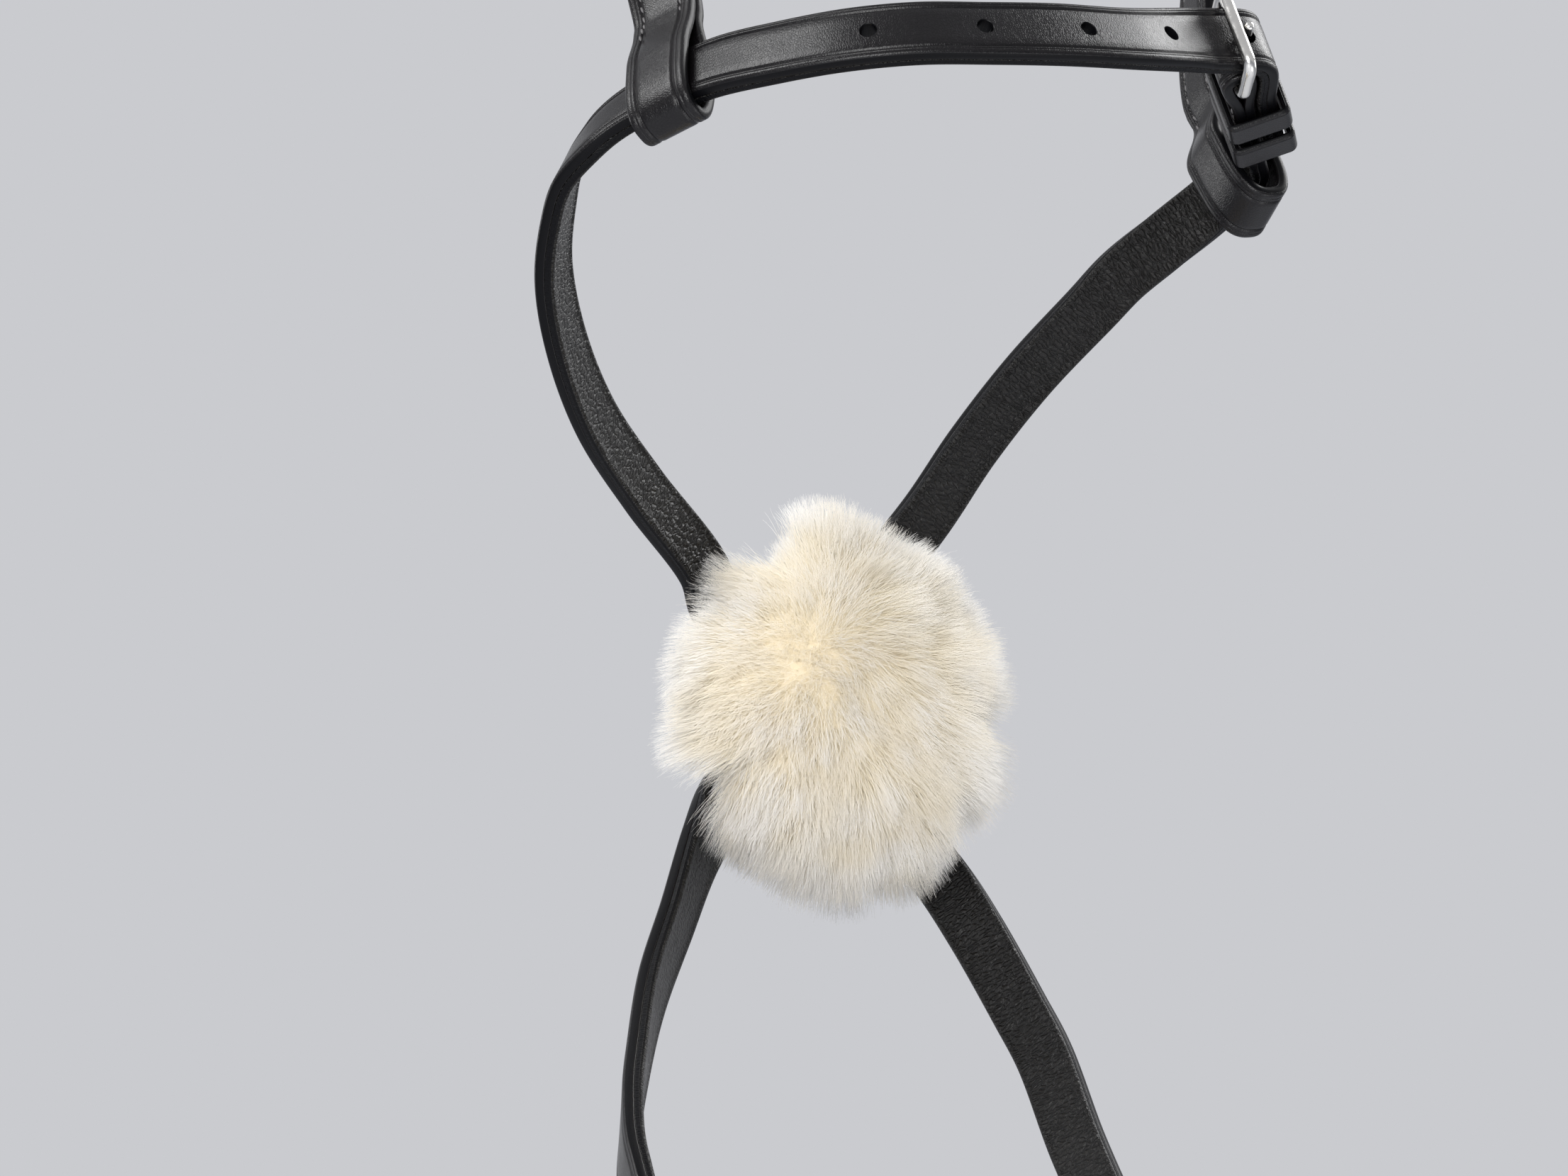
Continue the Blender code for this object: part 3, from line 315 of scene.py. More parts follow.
class NosebandLeather(bpy.types.PropertyGroup):
    """Sizes and colours of the straps"""
    face_colour: colour_setting("Outer face", "Dyed and waxed bridle butt", "#0E0C0E")
    lining_colour: colour_setting("Lining", "Softer pebbled leather on the horse's side", "#12100E")
    edge_colour: colour_setting("Edge", "Painted and burnished edges", "#08080A")
    thread_colour: colour_setting("Thread", "Waxed stitching thread", "#5A5858")
    strap_crease: length_setting("Strap crease", "Broad crease line to a nose strap's edge", 2.3)
    cheek_crease: length_setting("Cheek crease", "Broad crease line to a cheekpiece's edge", 3.1)
    crease_depth: length_setting("Crease depth", "Depth of the broad crease lines", 0.36)
    stitch_pitch: length_setting("Stitch pitch", "From one stitch to the next", 3.1)


class NosebandWool(bpy.types.PropertyGroup):
    """Sizes and colours of the sheepskin"""
    tip_colour: colour_setting("Tips", "Outer third of the wool", "#FCF7EE")
    deep_colour: colour_setting("Depth", "Wool near the hide", "#F9EBCD")
    pile: length_setting("Pile", "Length of the wool", 13.5)
    tuft_count: count_setting("Tufts", "Rounded tufts that the locks stand in", 52)
    tuft_radius: length_setting("Tuft radius", "Where a tuft's dome reaches its lowest", 9.0)
    tuft_fan: share_setting("Tuft fan", "How far a tuft's locks spread", 0.34)
    tuft_dome: share_setting("Tuft dome", "Shortening of the wool at a tuft's rim", 0.40)
    lock_count: count_setting("Locks", "Locks of wool on the pad", 1700)
    lock_radius: length_setting("Lock radius", "Spread of a lock's roots", 1.9)
    lock_gather: share_setting("Lock gather", "How far a lock's tips draw together", 0.35)
    strands: count_setting("Strands", "Strands drawn in each lock", 30)
    strand_radius: length_setting("Strand radius", "Drawn thicker than a real fibre, so that it shows", 0.062)
    seed: IntProperty(name="Seed", description="Seed of the wool's scatter", default=7)


class NosebandMetal(bpy.types.PropertyGroup):
    """Finish of the buckles and rivet"""
    nickel_colour: colour_setting("Nickel", "Bright nickel plate on the buckles", "#DAD8D3")
    nickel_roughness: share_setting("Polish", "Roughness of the plate", 0.13)
    brass_colour: colour_setting("Brass", "Burr of the rivet", "#B98F4F")


class NosebandStage(bpy.types.PropertyGroup):
    """Backdrop and lamps"""
    backdrop_colour: colour_setting("Backdrop", "Plain grey paper", "#CACBCF")
    lamp_share: share_setting("Lamp level", "Share of the plain lamp level", 1.0)


# ---------------------------------------------------------------- routes of the straps


def facing(compass, tilt):
    """Unit vector of an outer face: compass from +Y towards +X, tilt above the level, both in degrees."""
    c, t = math.radians(compass), math.radians(tilt)
    return Vector((math.sin(c) * math.cos(t), math.cos(c) * math.cos(t), math.sin(t)))


def ring_point(row):
    """World place of a ring table's row."""
    reach = NOSE_REACH if row[1] > 0 else JAW_REACH
    up = row[2] * CROSSING_DROP - LOOP_DEPTH_BELOW_POLL
    return Vector((row[0] * LOOP_HALF_SPAN, row[1] * reach, up))


def cheek_point(row):
    """World place of a cheek table's row."""
    up = row[2] * LOOP_DEPTH_BELOW_POLL - LOOP_DEPTH_BELOW_POLL
    return Vector((row[0] * HEAD_HALF_WIDTH, row[1] * NOSE_REACH, up))


def knots(rows, place):
    return [(place(row), facing(row[3], row[4])) for row in rows]


class Path:
    """A line with a direction and an outward normal at each point, read by its length."""

    def __init__(self, rows):
        self.points = [Vector(place) for place, normal in rows]
        self.lengths = [0.0]
        for a, b in zip(self.points, self.points[1:]):
            self.lengths.append(self.lengths[-1] + (b - a).length)
        self.total = self.lengths[-1]
        ends = [self.points[0]] + self.points + [self.points[-1]]
        self.tangents = [(after - before).normalized() for before, after in zip(ends, ends[2:])]
        self.normals = []
        for (place, normal), tangent in zip(rows, self.tangents):
            flat = Vector(normal) - tangent * tangent.dot(normal)
            self.normals.append(flat.normalized())

    def at(self, length):
        """Point, direction, outward normal and direction across at a length."""
        length = min(max(length, 0.0), self.total)
        i = int(np.searchsorted(self.lengths, length, side="right")) - 1
        i = min(max(i, 0), len(self.points) - 2)
        span = self.lengths[i + 1] - self.lengths[i]
        share = (length - self.lengths[i]) / span if span > 0 else 0.0
        point = self.points[i].lerp(self.points[i + 1], share)
        tangent = self.tangents[i].lerp(self.tangents[i + 1], share).normalized()
        normal = self.normals[i].lerp(self.normals[i + 1], share)
        normal = (normal - tangent * tangent.dot(normal)).normalized()
        return point, tangent, normal, normal.cross(tangent)

    def reversed(self):
        return Path(list(zip(self.points, self.normals))[::-1])

    def nearest(self, target):
        best = min(range(len(self.points)), key=lambda i: (self.points[i] - target).length)
        return self.lengths[best]


def smooth_path(rows, before=(), after=(), pieces=16):
    """Path along a centripetal Catmull-Rom line through the rows, between rows that stay as they are."""
    places = [rows[0][0] * 2 - rows[1][0]] + [row[0] for row in rows] + [rows[-1][0] * 2 - rows[-2][0]]
    normals = [rows[0][1]] + [row[1] for row in rows] + [rows[-1][1]]
    smooth = []
    for k in range(1, len(places) - 2):
        ends = [0.0]
        for j in range(k - 1, k + 2):
            ends.append(ends[-1] + math.sqrt((places[j + 1] - places[j]).length))
        steps = pieces + (1 if k == len(places) - 3 else 0)
        for n in range(steps):
            t = ends[1] + (ends[2] - ends[1]) * n / pieces
            outward = blend_four(normals[k - 1:k + 3], ends, t).normalized()
            smooth.append((blend_four(places[k - 1:k + 3], ends, t), outward))
    return Path([*before, *smooth, *after])


def blend_four(values, ends, t):
    """Barry and Goldman's form of the Catmull-Rom blend of four values at the parameters in ends."""
    level = list(values)
    for spans in (((0, 1), (1, 2), (2, 3)), ((0, 2), (1, 3)), ((1, 2),)):
        shares = [(t - ends[low]) / (ends[high] - ends[low]) for low, high in spans]
        level = [level[j] * (1 - share) + level[j + 1] * share for j, share in enumerate(shares)]
    return level[0]


def smooth_step(share):
    share = min(max(share, 0.0), 1.0)
    return share * share * (3 - 2 * share)


class Buckle:
    """Local frame and heights of a buckle: hinge bar at the origin, u away from the chape, n outward."""

    def __init__(self, name, hinge_row, place, toward, width, lined, bend, bar_past_bend):
        self.name = name
        self.hinge = place(hinge_row)
        self.u = (self.hinge - toward).normalized()
        outward = facing(hinge_row[3], hinge_row[4])
        self.n = (outward - self.u * self.u.dot(outward)).normalized()
        self.w = self.u.cross(self.n)
        self.width = width
        self.bend = bend
        self.tangent_angle = math.pi / 2 - bend
        self.lift = self.tangent_angle - bar_past_bend
        self.chape_ply = OUTER_PLY if lined else CHEEK_PLY
        self.under = PLY_GAP / 2 + LINING_PLY if lined else CHEEK_PLY / 2
        self.over = PLY_GAP / 2 + OUTER_PLY if lined else CHEEK_PLY / 2
        self.chape_height = (PLY_GAP + self.chape_ply) / 2
        self.fold_radius = WIRE_RADIUS + WIRE_CLEARANCE + self.chape_ply / 2
        self.billet_radius = self.fold_radius + self.chape_ply / 2 + BILLET_CLEARANCE + self.under
        self.billet_height = self.chape_height + self.chape_ply / 2 + BILLET_CLEARANCE + self.under
        clear = self.billet_radius + self.over + BAR_SWING_GAP + WIRE_RADIUS
        self.reach = clear / math.cos(bar_past_bend)
        self.eye_radius = WIRE_RADIUS + WIRE_CLEARANCE + TONGUE_RADIUS
        self.half_frame = width / 2 + FRAME_SIDE_CLEARANCE + WIRE_RADIUS
        self.toward_bar = self.ray(self.lift)
        self.off_bar = self.n * math.cos(self.lift) - self.u * math.sin(self.lift)

    def spot(self, u, n, w=0.0):
        return self.hinge + self.u * u + self.n * n + self.w * w

    def ray(self, angle):
        """Direction at an angle from u towards n."""
        return self.u * math.cos(angle) + self.n * math.sin(angle)

    def billet_ref(self, u):
        """Height of the billet's reference surface over the chape, for u at or behind the hinge bar."""
        share = smooth_step(-u / RAMP_LENGTH)
        return self.billet_radius + (self.billet_height - self.billet_radius) * share

    def billet_knots(self, approach):
        """Rows from the tip over the hinge bar to the end of the straight approach, tip first."""
        rows = []
        for k in range(25):
            u = -BILLET_TAIL + BILLET_TAIL * k / 24
            rows.append((self.spot(u, self.billet_ref(u)), self.n))
        for k in range(1, 17):
            out = self.ray(math.pi / 2 - self.bend * k / 16)
            rows.append((self.hinge + out * self.billet_radius, out))
        angle = self.tangent_angle
        away = self.u * math.sin(angle) - self.n * math.cos(angle)
        rows += [(rows[-1][0] + away * approach * k / 3, self.ray(angle)) for k in range(1, 4)]
        return rows

    def ramp_height(self, share):
        return self.chape_height + (self.fold_radius - self.chape_height) * smooth_step(share)

    def fold_points(self, lap):
        """Middle line of the chape's ply: end of the lap, round the bar, back to the ramp's end."""
        flat = lap - RAMP_LENGTH
        shares = [k / 10 for k in range(10)]
        profile = [(-lap + flat * k / 14, -self.chape_height) for k in range(14)]
        profile += [(-RAMP_LENGTH * (1 - share), -self.ramp_height(share)) for share in shares]
        for k in range(25):
            angle = -math.pi / 2 + math.pi * k / 24
            profile.append((self.fold_radius * math.cos(angle), self.fold_radius * math.sin(angle)))
        profile += [(-RAMP_LENGTH * (1 - share), self.ramp_height(share)) for share in shares[:0:-1]]
        return [self.spot(u, n) for u, n in profile]

    def tongue_crossing(self):
        """Where the tongue's line passes the billet's reference surface."""
        middle = math.sqrt(self.billet_radius ** 2 - self.eye_radius ** 2)
        return self.hinge + self.toward_bar * middle + self.off_bar * self.eye_radius


def crossing_place(reach):
    return Vector((-CROSSING_TO_NEAR_SIDE, reach, -CROSSING_DROP - LOOP_DEPTH_BELOW_POLL))


def crossing_rows(height, slopes):
    """Flat run of a strap over the crossing; slopes are its compass turns from level before and after."""
    centre = crossing_place(NOSE_REACH + height)
    outward = Vector((0.0, 1.0, 0.0))
    before, after = [Vector((math.cos(slope), 0.0, -math.sin(slope))) for slope in slopes]
    rows = [(centre - before * FLAT_ZONE * share, outward) for share in FLAT_ROW_SHARES]
    rows.append((centre, outward))
    rows += [(centre + after * FLAT_ZONE * share, outward) for share in reversed(FLAT_ROW_SHARES)]
    return rows


def near_strap_path(jaw, chin):
    """Reference line of the strap: jaw billet tip, near loop, crossing, down to the chin hinge bar."""
    billet = jaw.billet_knots(HOLE_PITCH / 2)
    rows = billet[-3:]
    rows += knots(JAW_STRAP_SHARES + (NEAR_LOOP_SHARES,) + NEAR_NOSE_STRAP_SHARES, ring_point)
    rows += crossing_rows(-(OUTER_PLY + PLY_GAP), NEAR_STRAP_SLOPES)
    rows += knots(NEAR_STRAP_BELOW_SHARES, ring_point)
    straight = (chin.hinge - ring_point(NEAR_STRAP_BELOW_SHARES[-1])).length
    rows += [(chin.spot(-straight * k, 0.0), chin.n) for k in (0.9, 0.6, 0.3, 0.0)]
    return smooth_path(rows, before=billet[:-3])


def off_strap_path(jaw, chin):
    """Reference line of the strap: jaw hinge bar, off loop, crossing, chin billet tip."""
    straight = (jaw.hinge - ring_point(OFF_LOOP_ENTRY_SHARES)).length
    rows = [(jaw.spot(-straight * k, 0.0), jaw.n) for k in (0.0, 0.3, 0.6, 0.85)]
    rows += knots((OFF_LOOP_ENTRY_SHARES, OFF_LOOP_SHARES) + OFF_NOSE_STRAP_SHARES, ring_point)
    rows += crossing_rows(LINING_PLY + PLY_GAP, OFF_STRAP_SLOPES)
    rows += knots(OFF_STRAP_BELOW_SHARES, ring_point)
    billet = chin.billet_knots(HOLE_PITCH / 2)[::-1]
    return smooth_path(rows + billet[:3], after=billet[3:])


class Loop:
    """A cheek loop: its place and directions on a nose strap, and its fold, which hangs round the strap."""

    def __init__(self, path, place, fit):
        slide, clearance, set_in, self.lean = fit
        self.centre, _, self.normal, across = path.at(path.nearest(place) - slide)
        self.up = across if across.z > 0 else -across
        half = (PLY_GAP + OUTER_PLY + LINING_PLY) / 2
        self.radius = half + CHEEK_PLY / 2 + clearance
        self.lift = math.sqrt((half + clearance - LOOP_SEAT_GAP) ** 2 - (half + set_in) ** 2)
        self.shift = (OUTER_PLY - LINING_PLY) / 2 - set_in
        self.top = JAW_STRAP_WIDTH / 2 + LOOP_THROAT

    def spot(self, out, rise):
        return self.centre + self.normal * (self.shift + out) + self.up * rise

    def throat_reach(self, rise, side):
        """Distance of the outer (side 1) or inner (side -1) ply from the loop's middle, in the throat."""
        spread = smooth_step((self.top - rise) / (self.top - THROAT_FOOT))
        above = self.lean + side * (PLY_GAP + CHEEK_PLY) / 2
        return above * (1 - spread) + side * self.radius * spread

    def fold_points(self):
        """Middle line round the strap, from the throat's inner side down, under and up to its outer side."""
        drop = LOOP_BELLY + JAW_STRAP_WIDTH / 2 + self.radius - self.lift
        rises = [self.top - (self.top - THROAT_FOOT) * k / 16 for k in range(1, 17)]
        profile = [(self.throat_reach(rise, -1), rise) for rise in rises]
        for k in range(41):
            across, down = math.cos(math.pi * k / 40), math.sin(math.pi * k / 40)
            swell = (abs(across) ** LOOP_SQUARENESS + down ** LOOP_SQUARENESS) ** (-1 / LOOP_SQUARENESS)
            profile.append((-self.radius * across * swell, LOOP_BELLY - drop * down * swell))
        profile += [(self.throat_reach(rise, 1), rise) for rise in reversed(rises)]
        return [self.spot(out, rise) for out, rise in profile]

    def cheek_start(self):
        """Two rows of a cheek's reference line just above the loop."""
        first = self.spot(self.lean, self.top)
        return [(first, self.normal), (first + self.up * CHEEK_WIDTH / 4, self.normal)]


def near_cheek_path(loop, buckle):
    rows = loop.cheek_start() + knots(NEAR_CHEEK_SHARES, cheek_point)
    rows += [(buckle.spot(-BILLET_TAIL * k, 0.0), buckle.n) for k in (1.0, 0.5, 0.0)]
    return smooth_path(rows)


def poll_rows():
    places = [Vector((POLL_FLAT_HALF_LENGTH * k, 0.0, -PLY_GAP / 2)) for k in (-1.25, -0.6, 0.0, 0.6, 1.25)]
    return [(place, Vector((0.0, 0.0, 1.0))) for place in places]


def head_path(loop, buckle):
    """Reference line from the off loop's throat over the poll to the near side billet's tip."""
    shift = (PLY_GAP + CHEEK_PLY) / 2
    billet = [(place - outward * shift, outward) for place, outward in buckle.billet_knots(HOLE_PITCH / 2)]
    rows = billet[-3:] + knots(NEAR_HEAD_SHARES, cheek_point) + poll_rows()
    rows += knots(OFF_HEAD_SHARES, cheek_point) + loop.cheek_start()[::-1]
    return smooth_path(rows, before=billet[:-3]).reversed()


class Routes:
    """Every strap's reference line, the buckles and the cheek loops, from the tables above."""

    def __init__(self):
        self.jaw = Buckle("jaw", JAW_HINGE_SHARES, ring_point, ring_point(OFF_LOOP_ENTRY_SHARES),
                          JAW_STRAP_WIDTH, True, JAW_BEND, LINED_BAR_PAST_BEND)
        self.chin = Buckle("chin", CHIN_HINGE_SHARES, ring_point, ring_point(NEAR_STRAP_BELOW_SHARES[-1]),
                           NOSE_STRAP_WIDTH, True, CHIN_BEND, LINED_BAR_PAST_BEND)
        self.cheek = Buckle("cheek", CHEEK_HINGE_SHARES, cheek_point, cheek_point(NEAR_CHEEK_SHARES[-1]),
                            CHEEK_WIDTH, False, CHEEK_BEND, CHEEK_BAR_PAST_BEND)
        self.near = near_strap_path(self.jaw, self.chin)
        self.off = off_strap_path(self.jaw, self.chin)
        self.near_loop = Loop(self.near, ring_point(NEAR_LOOP_SHARES), NEAR_LOOP_FIT)
        self.off_loop = Loop(self.off, ring_point(OFF_LOOP_SHARES), OFF_LOOP_FIT)
        self.near_cheek = near_cheek_path(self.near_loop, self.cheek)
        self.head = head_path(self.off_loop, self.cheek)

    def buckles(self):
        return (self.jaw, self.chin, self.cheek)


# ---------------------------------------------------------------- mesh helpers


def strap_width(path, loop_row):
    """Half width by length: the jaw strap's up to the cheek loop, then easing to the nose strap's."""
    start = path.nearest(ring_point(loop_row)) - CHEEK_WIDTH * FLARE_SHARE
    span = 2 * CHEEK_WIDTH * FLARE_SHARE

    def half_width(length):
        eased = smooth_step((length - start) / span)
        return (JAW_STRAP_WIDTH + (NOSE_STRAP_WIDTH - JAW_STRAP_WIDTH) * eased) / 2

    return half_width


def cheek_half_width(length):
    return CHEEK_WIDTH / 2


def run_stations(path, start, end, height, half_width, tapered=False):
    """Stations (centre, across, half width) of a ply at a height over the path."""
    count = max(2, math.ceil((end - start) / STATION_STEP))
    stations = []
    for k in range(count + 1):
        length = start + (end - start) * k / count
        point, _, normal, across = path.at(length)
        half = half_width(length)
        reached = 1 - (end - length) / TIP_TAPER
        if tapered and reached > 0:
            half *= 1 - TIP_NARROWING_SHARE * reached ** 2
        stations.append((point + normal * height, across, half))
    return stations


def fold_stations(points, across, width):
    """Stations of a fold, all with the same direction across."""
    return [(point, across.normalized(), width / 2) for point in points]


def strap_outline(thickness, crease, bead, seam_side=0.0):
    """Half of a strap's cross-section, from the middle of its outer face round the edge to its back.

    Rows are (share of half width, inset, height, zone). The zone goes 0 to 1 over the face, to 2 over the
    edge and to 3 over the back; materials read it. crease is the broad crease line's inset, or none.
    seam_side is +1 to reach the ply above, -1 the one below.
    """
    crease_depth = bpy.context.scene.noseband_leather.crease_depth
    top = thickness / 2 + (PLY_GAP / 2 if seam_side > 0 else 0.0)
    low = -thickness / 2 - (PLY_GAP / 2 if seam_side < 0 else 0.0)
    outer = HIDDEN_CORNER if seam_side > 0 else OUTER_CORNER
    inner = HIDDEN_CORNER if seam_side < 0 else OUTER_CORNER
    rows = [(0.0, 0.0, top, 0.0), (0.4, 0.0, top, 0.4)]
    if crease:
        for place, reach, depth in CREASE_LINES:
            for offset, share in CREASE_SECTION:
                inset = crease * (place + reach * offset)
                rows.append((1.0, inset, top - crease_depth * depth * share, 0.95 - 0.3 * inset / crease))
    else:
        rows.append((0.75, 0.0, top, 0.75))
    rows += corner_rows(top, -1, outer, 0.95)
    rows.append((1.0, 0.0, (top + low) / 2, 1.5))
    rows += [(*row[:3], 3.0 - row[3]) for row in corner_rows(low, 1, inner, 0.95)[::-1]]
    if bead:
        for share, rise, zone in ((0.5, 0.1, 2.12), (0.8, 0.6, 2.18), (1.0, 1.0, 2.24)):
            rows.append((1.0, OUTER_CORNER + BEAD_WIDTH * share, low + BEAD_STEP * rise, zone))
        rows += [(0.5, 0.0, low + BEAD_STEP, 2.5), (0.0, 0.0, low + BEAD_STEP * 0.8, 3.0)]
    else:
        rows += [(0.6, 0.0, low, 2.4), (0.0, 0.0, low, 3.0)]
    return rows


def corner_rows(level, way, radius, zone, steps=5):
    """Rows of a rounded corner from a face at a level towards the edge, which lies up (1) or down (-1)."""
    rows = []
    for k in range(steps + 1):
        angle = math.pi / 2 * k / steps
        rows.append((1.0, radius * (1 - math.sin(angle)) + EDGE_BULGE,
                     level + way * radius * (1 - math.cos(angle)), zone + 0.1 * k / steps))
    return rows


def whole_outline(half):
    """Closed outline from a half one, begun at the middle of the left edge."""
    middle = next(k for k, row in enumerate(half) if row[3] == 1.5)
    left = [(-share, inset, height, zone) for share, inset, height, zone in half]
    return left[middle:0:-1] + half + left[-2:middle:-1]


def place_row(row, station, up, full):
    """World place of an outline's row at a station; insets and heights shrink with a narrowing tip."""
    share, inset, height = row[:3]
    centre, across, half, shrink = station
    fit = min(1.0, half / full)
    side = share * half - math.copysign(inset * fit, share) if share else 0.0
    side *= max(0.0, 1 - shrink / half)
    height *= max(0.0, 1 - shrink / SHRINK_FULL_HEIGHT)
    return centre + across * side + up * height


def rounded_ends(stations):
    """Stations with a shrink column, closer together and shrinking at both ends."""
    ends = []
    for (centre, across, half), following in ((stations[0], stations[1]), (stations[-1], stations[-2])):
        inward = (following[0] - centre).normalized()
        ends.append([(centre + inward * back, across, half, shrink) for back, shrink in END_STEPS])
    return ends[0] + [(*station, 0.0) for station in stations[1:-1]] + ends[1][::-1]


def loft(name, stations, outline, closed=False):
    """Skins an outline along stations: a grid is moved onto them, its seams merged and its ends filled."""
    outline = whole_outline(outline)
    rows = [(*station, 0.0) for station in stations] if closed else rounded_ends(stations)
    full = max(row[2] for row in rows)
    count = len(rows)
    ups, lengths = [], [0.0]
    for k in range(count):
        before = rows[k - 1] if closed else rows[max(k - 1, 0)]
        after = rows[(k + 1) % count] if closed else rows[min(k + 1, count - 1)]
        tangent = (after[0] - before[0]).normalized()
        ups.append(tangent.cross(rows[k][1]).normalized())
        lengths.append(lengths[-1] + (rows[(k + 1) % count][0] - rows[k][0]).length)
    around = [0.0]
    places = [place_row(row, rows[count // 2], ups[count // 2], full) for row in outline]
    for k in range(len(places)):
        around.append(around[-1] + (places[(k + 1) % len(places)] - places[k]).length)
    bm = bmesh.new()
    along_steps = count if closed else count - 1
    bmesh.ops.create_grid(bm, x_segments=along_steps, y_segments=len(outline), size=1)
    hide = bm.loops.layers.uv.new("hide")
    zones = bm.loops.layers.uv.new("zone")
    cells = {}
    for vert in bm.verts:
        cells[vert] = (round((vert.co.x + 1) / 2 * along_steps), round((vert.co.y + 1) / 2 * len(outline)))
    for face in bm.faces:
        for corner in face.loops:
            i, j = cells[corner.vert]
            corner[hide].uv = (lengths[i], around[j])
            corner[zones].uv = (outline[j % len(outline)][3], 0.0)
    for vert, (i, j) in cells.items():
        vert.co = place_row(outline[j % len(outline)], rows[i % count], ups[i % count], full)
    for face in close_up(bm):
        for corner in face.loops:
            corner[zones].uv = (1.5, 0.0)
    return finished(name, bm)


def close_up(bm):
    """Merges doubled points, fills what is still open and turns the faces outwards; returns the new faces."""
    bmesh.ops.remove_doubles(bm, verts=bm.verts, dist=MERGE_DISTANCE)
    made = bmesh.ops.holes_fill(bm, edges=[edge for edge in bm.edges if edge.is_boundary], sides=0)
    bmesh.ops.recalc_face_normals(bm, faces=bm.faces)
    return made["faces"]


def set_zones(bm, zone_of):
    """Gives every corner of a bmesh its face's zone, and an empty hide map."""
    bm.loops.layers.uv.new("hide")
    zones = bm.loops.layers.uv.new("zone")
    for face in bm.faces:
        for corner in face.loops:
            corner[zones].uv = (zone_of(face), 0.0)


def finished(name, bm):
    """Object of a bmesh, smooth but for its sharp edges, with no material yet."""
    mesh = bpy.data.meshes.new(name)
    bm.to_mesh(mesh)
    bm.free()
    mesh.shade_smooth()
    mesh.set_sharp_from_angle(angle=SHARP_ANGLE)
    thing = bpy.data.objects.new(name, mesh)
    bpy.context.scene.collection.objects.link(thing)
    return thing


def dress(piece, material, body, slot, *nodes):
    """Gives a finished piece its material and body, and hides the CAD nodes that it stands for; the slot is
    not used.
    """
    piece.data.materials.clear()
    piece.data.materials.append(material)
    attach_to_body(piece, body)
    if nodes:
        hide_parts(*nodes)
    return piece


def turn_profile(bm, profile, matrix, sides):
    """Spins a (radius, height) profile about local Z and places it; returns the new vertices."""
    verts = [bm.verts.new((radius, 0.0, height)) for radius, height in profile]
    edges = [bm.edges.new(pair) for pair in zip(verts, verts[1:])]
    old = set(bm.verts) - set(verts)
    bmesh.ops.spin(bm, geom=verts + edges, cent=(0, 0, 0), axis=(0, 0, 1), angle=2 * math.pi, steps=sides,
                   use_merge=True)
    fresh = [vert for vert in bm.verts if vert not in old]
    bmesh.ops.transform(bm, matrix=matrix, verts=fresh)
    return fresh


def facing_matrix(centre, axis):
    return Matrix.Translation(centre) @ axis.to_track_quat('Z', 'Y').to_matrix().to_4x4()


def turned(name, profile, centre, sides=64):
    """A profile of (radius, height) pairs spun about the world's Y axis through the centre."""
    bm = bmesh.new()
    turn_profile(bm, profile, facing_matrix(centre, Vector((0, 1, 0))), sides)
    close_up(bm)
    set_zones(bm, lambda face: 1.5 if abs(face.normal.y) < 0.5 else 0.2)
    return finished(name, bm)


def cut(piece, places):
    """Punches (centre, axis, radius, thickness) holes with a soft rim, and boxes given as (matrix, size)."""
    bm = bmesh.new()
    for place in places:
        if len(place) == 2:
            made = bmesh.ops.create_cube(bm, size=1)
            bmesh.ops.scale(bm, vec=place[1], verts=made["verts"])
            bmesh.ops.transform(bm, matrix=place[0], verts=made["verts"])
            continue
        centre, axis, radius, thickness = place
        half, far, wide = thickness / 2, thickness / 2 + CUTTER_OVERRUN, radius + RIM_FLARE
        profile = [(0.0, -far), (wide, -far), (wide, -half), (radius, RIM_FLARE - half),
                   (radius, half - RIM_FLARE), (wide, half), (wide, far), (0.0, far)]
        turn_profile(bm, profile, facing_matrix(centre, axis), 28)
    close_up(bm)
    set_zones(bm, lambda face: 1.5)
    cutter = finished(piece.name + "_cutter", bm)
    step = piece.modifiers.new("Punch", 'BOOLEAN')
    step.operation = 'DIFFERENCE'
    step.solver = 'EXACT'
    step.object = cutter
    graph = bpy.context.evaluated_depsgraph_get()
    whole = piece.data
    piece.data = bpy.data.meshes.new_from_object(piece.evaluated_get(graph))
    piece.modifiers.clear()
    bpy.data.meshes.remove(whole)
    bpy.data.objects.remove(cutter)
    piece.data.set_sharp_from_angle(angle=SHARP_ANGLE)


def wire(name, rings, closed):
    """Skins (centre, side, up, radius) rings as a round wire; open ends are filled."""
    sides = 16
    steps = len(rings) - (0 if closed else 1)
    bm = bmesh.new()
    bmesh.ops.create_grid(bm, x_segments=steps, y_segments=sides, size=1)
    for vert in bm.verts:
        i = round((vert.co.x + 1) / 2 * steps) % len(rings)
        angle = math.pi * (vert.co.y + 1)
        centre, side, up, radius = rings[i]
        vert.co = centre + side * radius * math.cos(angle) + up * radius * math.sin(angle)
    close_up(bm)
    return finished(name, bm)


def rounded_outline(half_x, low_y, high_y, corner, steps):
    """Corner-rounded rectangle as points, anticlockwise, with points along its sides too."""
    points = []
    corners = (
        (half_x - corner, high_y - corner, 0.0),
        (corner - half_x, high_y - corner, 90.0),
        (corner - half_x, low_y + corner, 180.0),
        (half_x - corner, low_y + corner, 270.0),
    )
    for x, y, start in corners:
        for k in range(steps + 1):
            angle = math.radians(start + 90.0 * k / steps)
            points.append((x + corner * math.cos(angle), y + corner * math.sin(angle)))
    dense = []
    for a, b in zip(points, points[1:] + points[:1]):
        parts = max(1, round(math.dist(a, b) / MM))
        for k in range(parts):
            dense.append((a[0] + (b[0] - a[0]) * k / parts, a[1] + (b[1] - a[1]) * k / parts))
    return dense


# ---------------------------------------------------------------- materials


